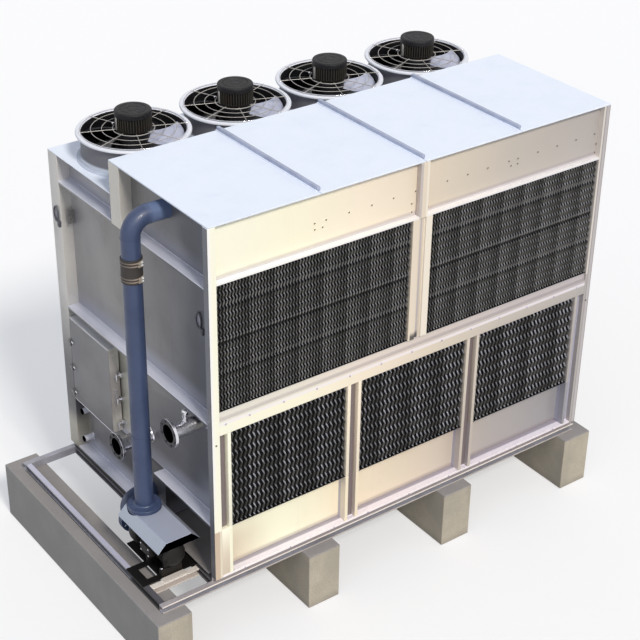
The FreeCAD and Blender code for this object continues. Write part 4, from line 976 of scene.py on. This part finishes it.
SUCTION_BEND = 0.19
suction_low, suction_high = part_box("suction_elbow")
bend_y = suction_low.y + 0.024
bm = add(bmesh.new(), turned([
    (PIPE, 0), (FLANGE, 0), (FLANGE, 0.022), (0.076, 0.024), (PIPE, 0.03), (PIPE, 0.024)], 56, closed=True),
    at(px, suction_low.y, SHAFT, "y"))
add(bm, elbow(PIPE, SUCTION_BEND), at(px, bend_y, SHAFT, "y"))
add(bm, rod(PIPE, suction_high.x - px - SUCTION_BEND, 40),
    at(px + SUCTION_BEND, bend_y + SUCTION_BEND, SHAFT, "x"))
flange_bolts(bm, at(px, suction_low.y - 0.022, SHAFT, "y"), 0.1, 0.009, 0.044, finish=1)
piece("suction_bend", bm, [BLUE, STEEL], "blue_pipe", "suction_elbow", crease=30)

foot = riser_low.z
tall = riser_high.z - foot
bm = add(bmesh.new(), turned([
    (0, 0), (0.1235, 0), (FLANGE, 0.0015), (FLANGE, 0.0205), (0.1235, 0.022), (0.082, 0.024), (0.076, 0.027),
    (PIPE, 0.036), (PIPE, 0.24), (PIPE, tall), (0, tall)], 64), at(px, py, foot))
add(bm, hoop(PIPE + 0.0005, 0.0026), at(px, py, foot + 0.033), at(px, py, 1.62))
flange_bolts(bm, at(px, py, foot - 0.02), 0.101, 0.0095, 0.042)
piece("riser_tube", bm, [BLUE], "blue_pipe", "riser_pipe", crease=30)

sleeve_low, sleeve_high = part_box("riser_coupling")
tall = sleeve_high.z - sleeve_low.z
bm = add(bmesh.new(), turned([
    (PIPE, 0), (0.0765, 0), (0.078, 0.002), (0.078, 0.016), (0.0768, 0.019), (0.0768, tall - 0.019),
    (0.078, tall - 0.016), (0.078, tall - 0.002), (0.0765, tall), (PIPE, tall)], 56, closed=True),
    at(px, py, sleeve_low.z))
piece("riser_sleeve", bm, [RUBBER], "rubber", "riser_coupling", crease=30)
bm = bmesh.new()
for height in (0.021, 0.043, tall - 0.043, tall - 0.021):
    level = sleeve_low.z + height
    add(bm, turned([
        (0.0775, -0.005), (0.0797, -0.005), (0.0803, -0.003), (0.0803, 0.003), (0.0797, 0.005),
        (0.0775, 0.005)], 56, closed=True), at(px, py, level))
    lock = at(px, py, level, turn=math.radians(-78))
    add(bm, block((0.078, -0.016, -0.009), (0.0925, 0.016, 0.009), 0.003), lock)
    add(bm, rod(0.006, 0.014, 12, 0.001), lock @ at(0.087, 0.014, 0, "y"))
piece("coupling_clamps", bm, [CLAMP_PAINTED_SHEEN], "stainless", crease=30)

BEND = 0.14
bend_low, bend_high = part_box("riser_elbow")
leg = bend_high.z - PIPE - BEND - bend_low.z
knee = at(px, py, bend_low.z + leg)
outlet = at(px + BEND, py, bend_high.z - PIPE, "x")
bm = add(bmesh.new(), rod(PIPE, leg, 48), at(px, py, bend_low.z))
add(bm, elbow(PIPE, BEND, steps=20, sides=48), knee)
add(bm, rod(PIPE, bend_high.x - px - BEND, 48), outlet)
bmesh.ops.remove_doubles(bm, verts=bm.verts, dist=1e-5)
add(bm, hoop(PIPE + 0.0004, 0.0024, 56), knee, outlet)
piece("riser_bend", bm, [BLUE], "blue_pipe", "riser_elbow", crease=30)

# Flanged nozzles. The inlet has a valve on its stub.
VALVE_X = -1.6695
for use in ("inlet", "outlet"):
    low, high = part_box(f"{use}_nozzle")
    cy, cz = (low.y + high.y) / 2, low.z + 0.11
    reach = high.x - low.x
    mouth = at(low.x, cy, cz, "x")
    bm = add(bmesh.new(), turned([
        (0.0535, 0), (0.066, 0), (0.068, 0.0018), (0.0695, 0.0), (0.1085, 0), (0.11, 0.0016), (0.11, 0.0204),
        (0.1085, 0.022), (0.062, 0.022), (0.0585, 0.026), (0.057, 0.032), (0.057, reach - 0.012),
        (0.06, reach - 0.004), (0.066, reach - 0.001), (0.066, reach), (0.0535, reach)], 72, closed=True),
        mouth)
    # A black disc inside the bore, the bore's inner faces and the inner ring of the flange face are painted
    # near black as the shadow inside the opening; the rest of the flange face takes the dark painted shade.
    add(bm, rod(0.0534, 0.004, 40), mouth @ at(0, 0, 0.03), finish=1)
    for face in bm.faces:
        middle = face.calc_center_median()
        off_axis = math.hypot(middle.y - cy, middle.z - cz)
        if off_axis < 0.055 or (middle.x < low.x + 0.002 and off_axis < 0.0715):
            face.material_index = 1
        elif middle.x < low.x + 0.002 and off_axis < 0.106:
            face.material_index = 2
    flange_bolts(bm, mouth, 0.09, 0.0085, 0.022, finish=2)
    if use == "inlet":
        stem = at(VALVE_X, cy, cz + 0.056)
        add(bm, turned([
            (0, 0), (0.022, 0), (0.02, 0.006), (0.013, 0.01), (0.013, 0.026), (0.019, 0.028), (0.019, 0.044),
            (0.013, 0.046), (0.013, 0.06), (0.02, 0.062), (0.0225, 0.066), (0.0225, 0.084), (0.019, 0.09),
            (0.01, 0.094), (0, 0.0945)], 32), stem)
        add(bm, turned([
            (0, 0), (0.0135, 0), (0.0135, 0.006), (0.0085, 0.008), (0.0085, 0.013), (0, 0.013)], 20),
            stem @ at(0, -0.022, 0.075, "-y"))
        # A black disc paints the shadow inside the valve's outlet.
        add(bm, rod(0.0088, 0.002, 16), stem @ at(0, -0.0355, 0.075, "y"), finish=1)
    piece(f"{use}_spool", bm, [STEEL, OPENING_PAINTED_SHADOW, FLANGE_FACE_PAINTED_SHADE], "stainless", f"{use}_nozzle", crease=32)

# Stub pipes low on the left end. Each tube is painted pale as a highlight, and a black ring and end disc
# paint the shadow in its mouth.
PORT_Y = 0.868
bm = bmesh.new()
for level in (0.73, 1.0):
    add(bm, pipe(0.0252, 0.0236, 0.08, 32), at(-1.5945, PORT_Y, level, "x"), finish=2)
    add(bm, hoop(0.0222, 0.0034, 40), at(-1.595, PORT_Y, level, "x"), finish=1)
    add(bm, rod(0.0262, 0.006, 24), at(-1.5995, PORT_Y, level, "x"), finish=1)
    add(bm, turned([(0.024, 0), (0.034, 0), (0.034, 0.003), (0.0262, 0.007), (0.024, 0.007)], 32,
                   closed=True), at(-1.5135, PORT_Y, level, "-x"))
piece("port_linings", bm, [STEEL, OPENING_PAINTED_SHADOW, PORT_TUBE_PAINTED_HIGHLIGHT], "stainless", crease=32)

# Lifting shackles: a hanging link on an eye plate, with its pin
bm = bmesh.new()
for place in ((-1.6095, 1.01, 2.746), (-1.5135, -0.855, 2.669)):
    eye = at(*place)
    link = hoop(0.04, 0.0062, 40)
    bmesh.ops.scale(link, vec=(1.45, 0.78, 1.0), verts=link.verts)
    add(bm, link, eye @ at(-0.0085, 0, 0, "-x"))
    add(bm, block((-0.004, -0.026, -0.05), (0.001, 0.026, 0.05), 0.0035), eye, finish=1)
    add(bm, block((-0.018, -0.058, -0.098), (0.001, -0.024, -0.046), 0.005), eye)
    add(bm, rod(0.009, 0.07, 16, 0.002), eye @ at(-0.01, -0.066, -0.056, "y"))
piece("lifting_shackles", bm, [SHACKLE, ZINC], "grey_steel", crease=32)

# Access door, with trim strips, rivets and a handle
DOOR_X, HINGE_EDGE, FAR_EDGE = -1.6095, 0.328, 0.94
rounded("access_door", DOOR_STEEL, "grey_steel", 0.003, body="door")
bm = bmesh.new()
for face, foot, top in ((0.0035, 1.1, 1.106), (0.003, 1.854, 1.8595)):
    add(bm, block((DOOR_X - face, HINGE_EDGE + 0.002, foot), (DOOR_X + 0.002, FAR_EDGE, top), 0.0012),
        finish=1)
add(bm, rivet(0.006), *[at(DOOR_X - 0.004, y, level, "-x") for level in (1.17, 1.404, 1.638)
                        for y in (0.908, 0.924)], finish=1)
add(bm, rivet(0.0045), *[at(DOOR_X + 0.043, HINGE_EDGE, level, "-y") for level in (1.16, 1.3, 1.6, 1.8)],
    finish=1)
grip = turned([(0.012, 0), (0.016, 0), (0.017, 0.004), (0.0155, 0.006), (0.012, 0.0055)], 32, closed=True)
bmesh.ops.scale(grip, vec=(1.0, 3.3, 1.0), verts=grip.verts)
add(bm, grip, at(DOOR_X + 0.043, HINGE_EDGE - 0.012, 1.443, "-y"), finish=2)
piece("access_door_trim", bm, [DOOR_STEEL, STEEL, ZINC], "stainless", body="door", crease=32)
rounded("door_hinges", HINGE, "stainless", 0.0012)

# Lever latches beside the door
bm = bmesh.new()
for level in (1.17, 1.39, 1.61):
    base = at(-1.5395, 0.284, level)
    add(bm, block((-0.002, -0.002, -0.002), (0.026, 0.032, 0.038), 0.004), base)
    add(bm, rod(0.0075, 0.03, 20, 0.0015), base @ at(-0.001, 0.015, 0.018, "-x"))
    add(bm, block((-0.034, 0.004, -0.03), (-0.026, 0.026, 0.03), 0.003), base)
piece("door_latches", bm, [STEEL], "stainless", crease=32)
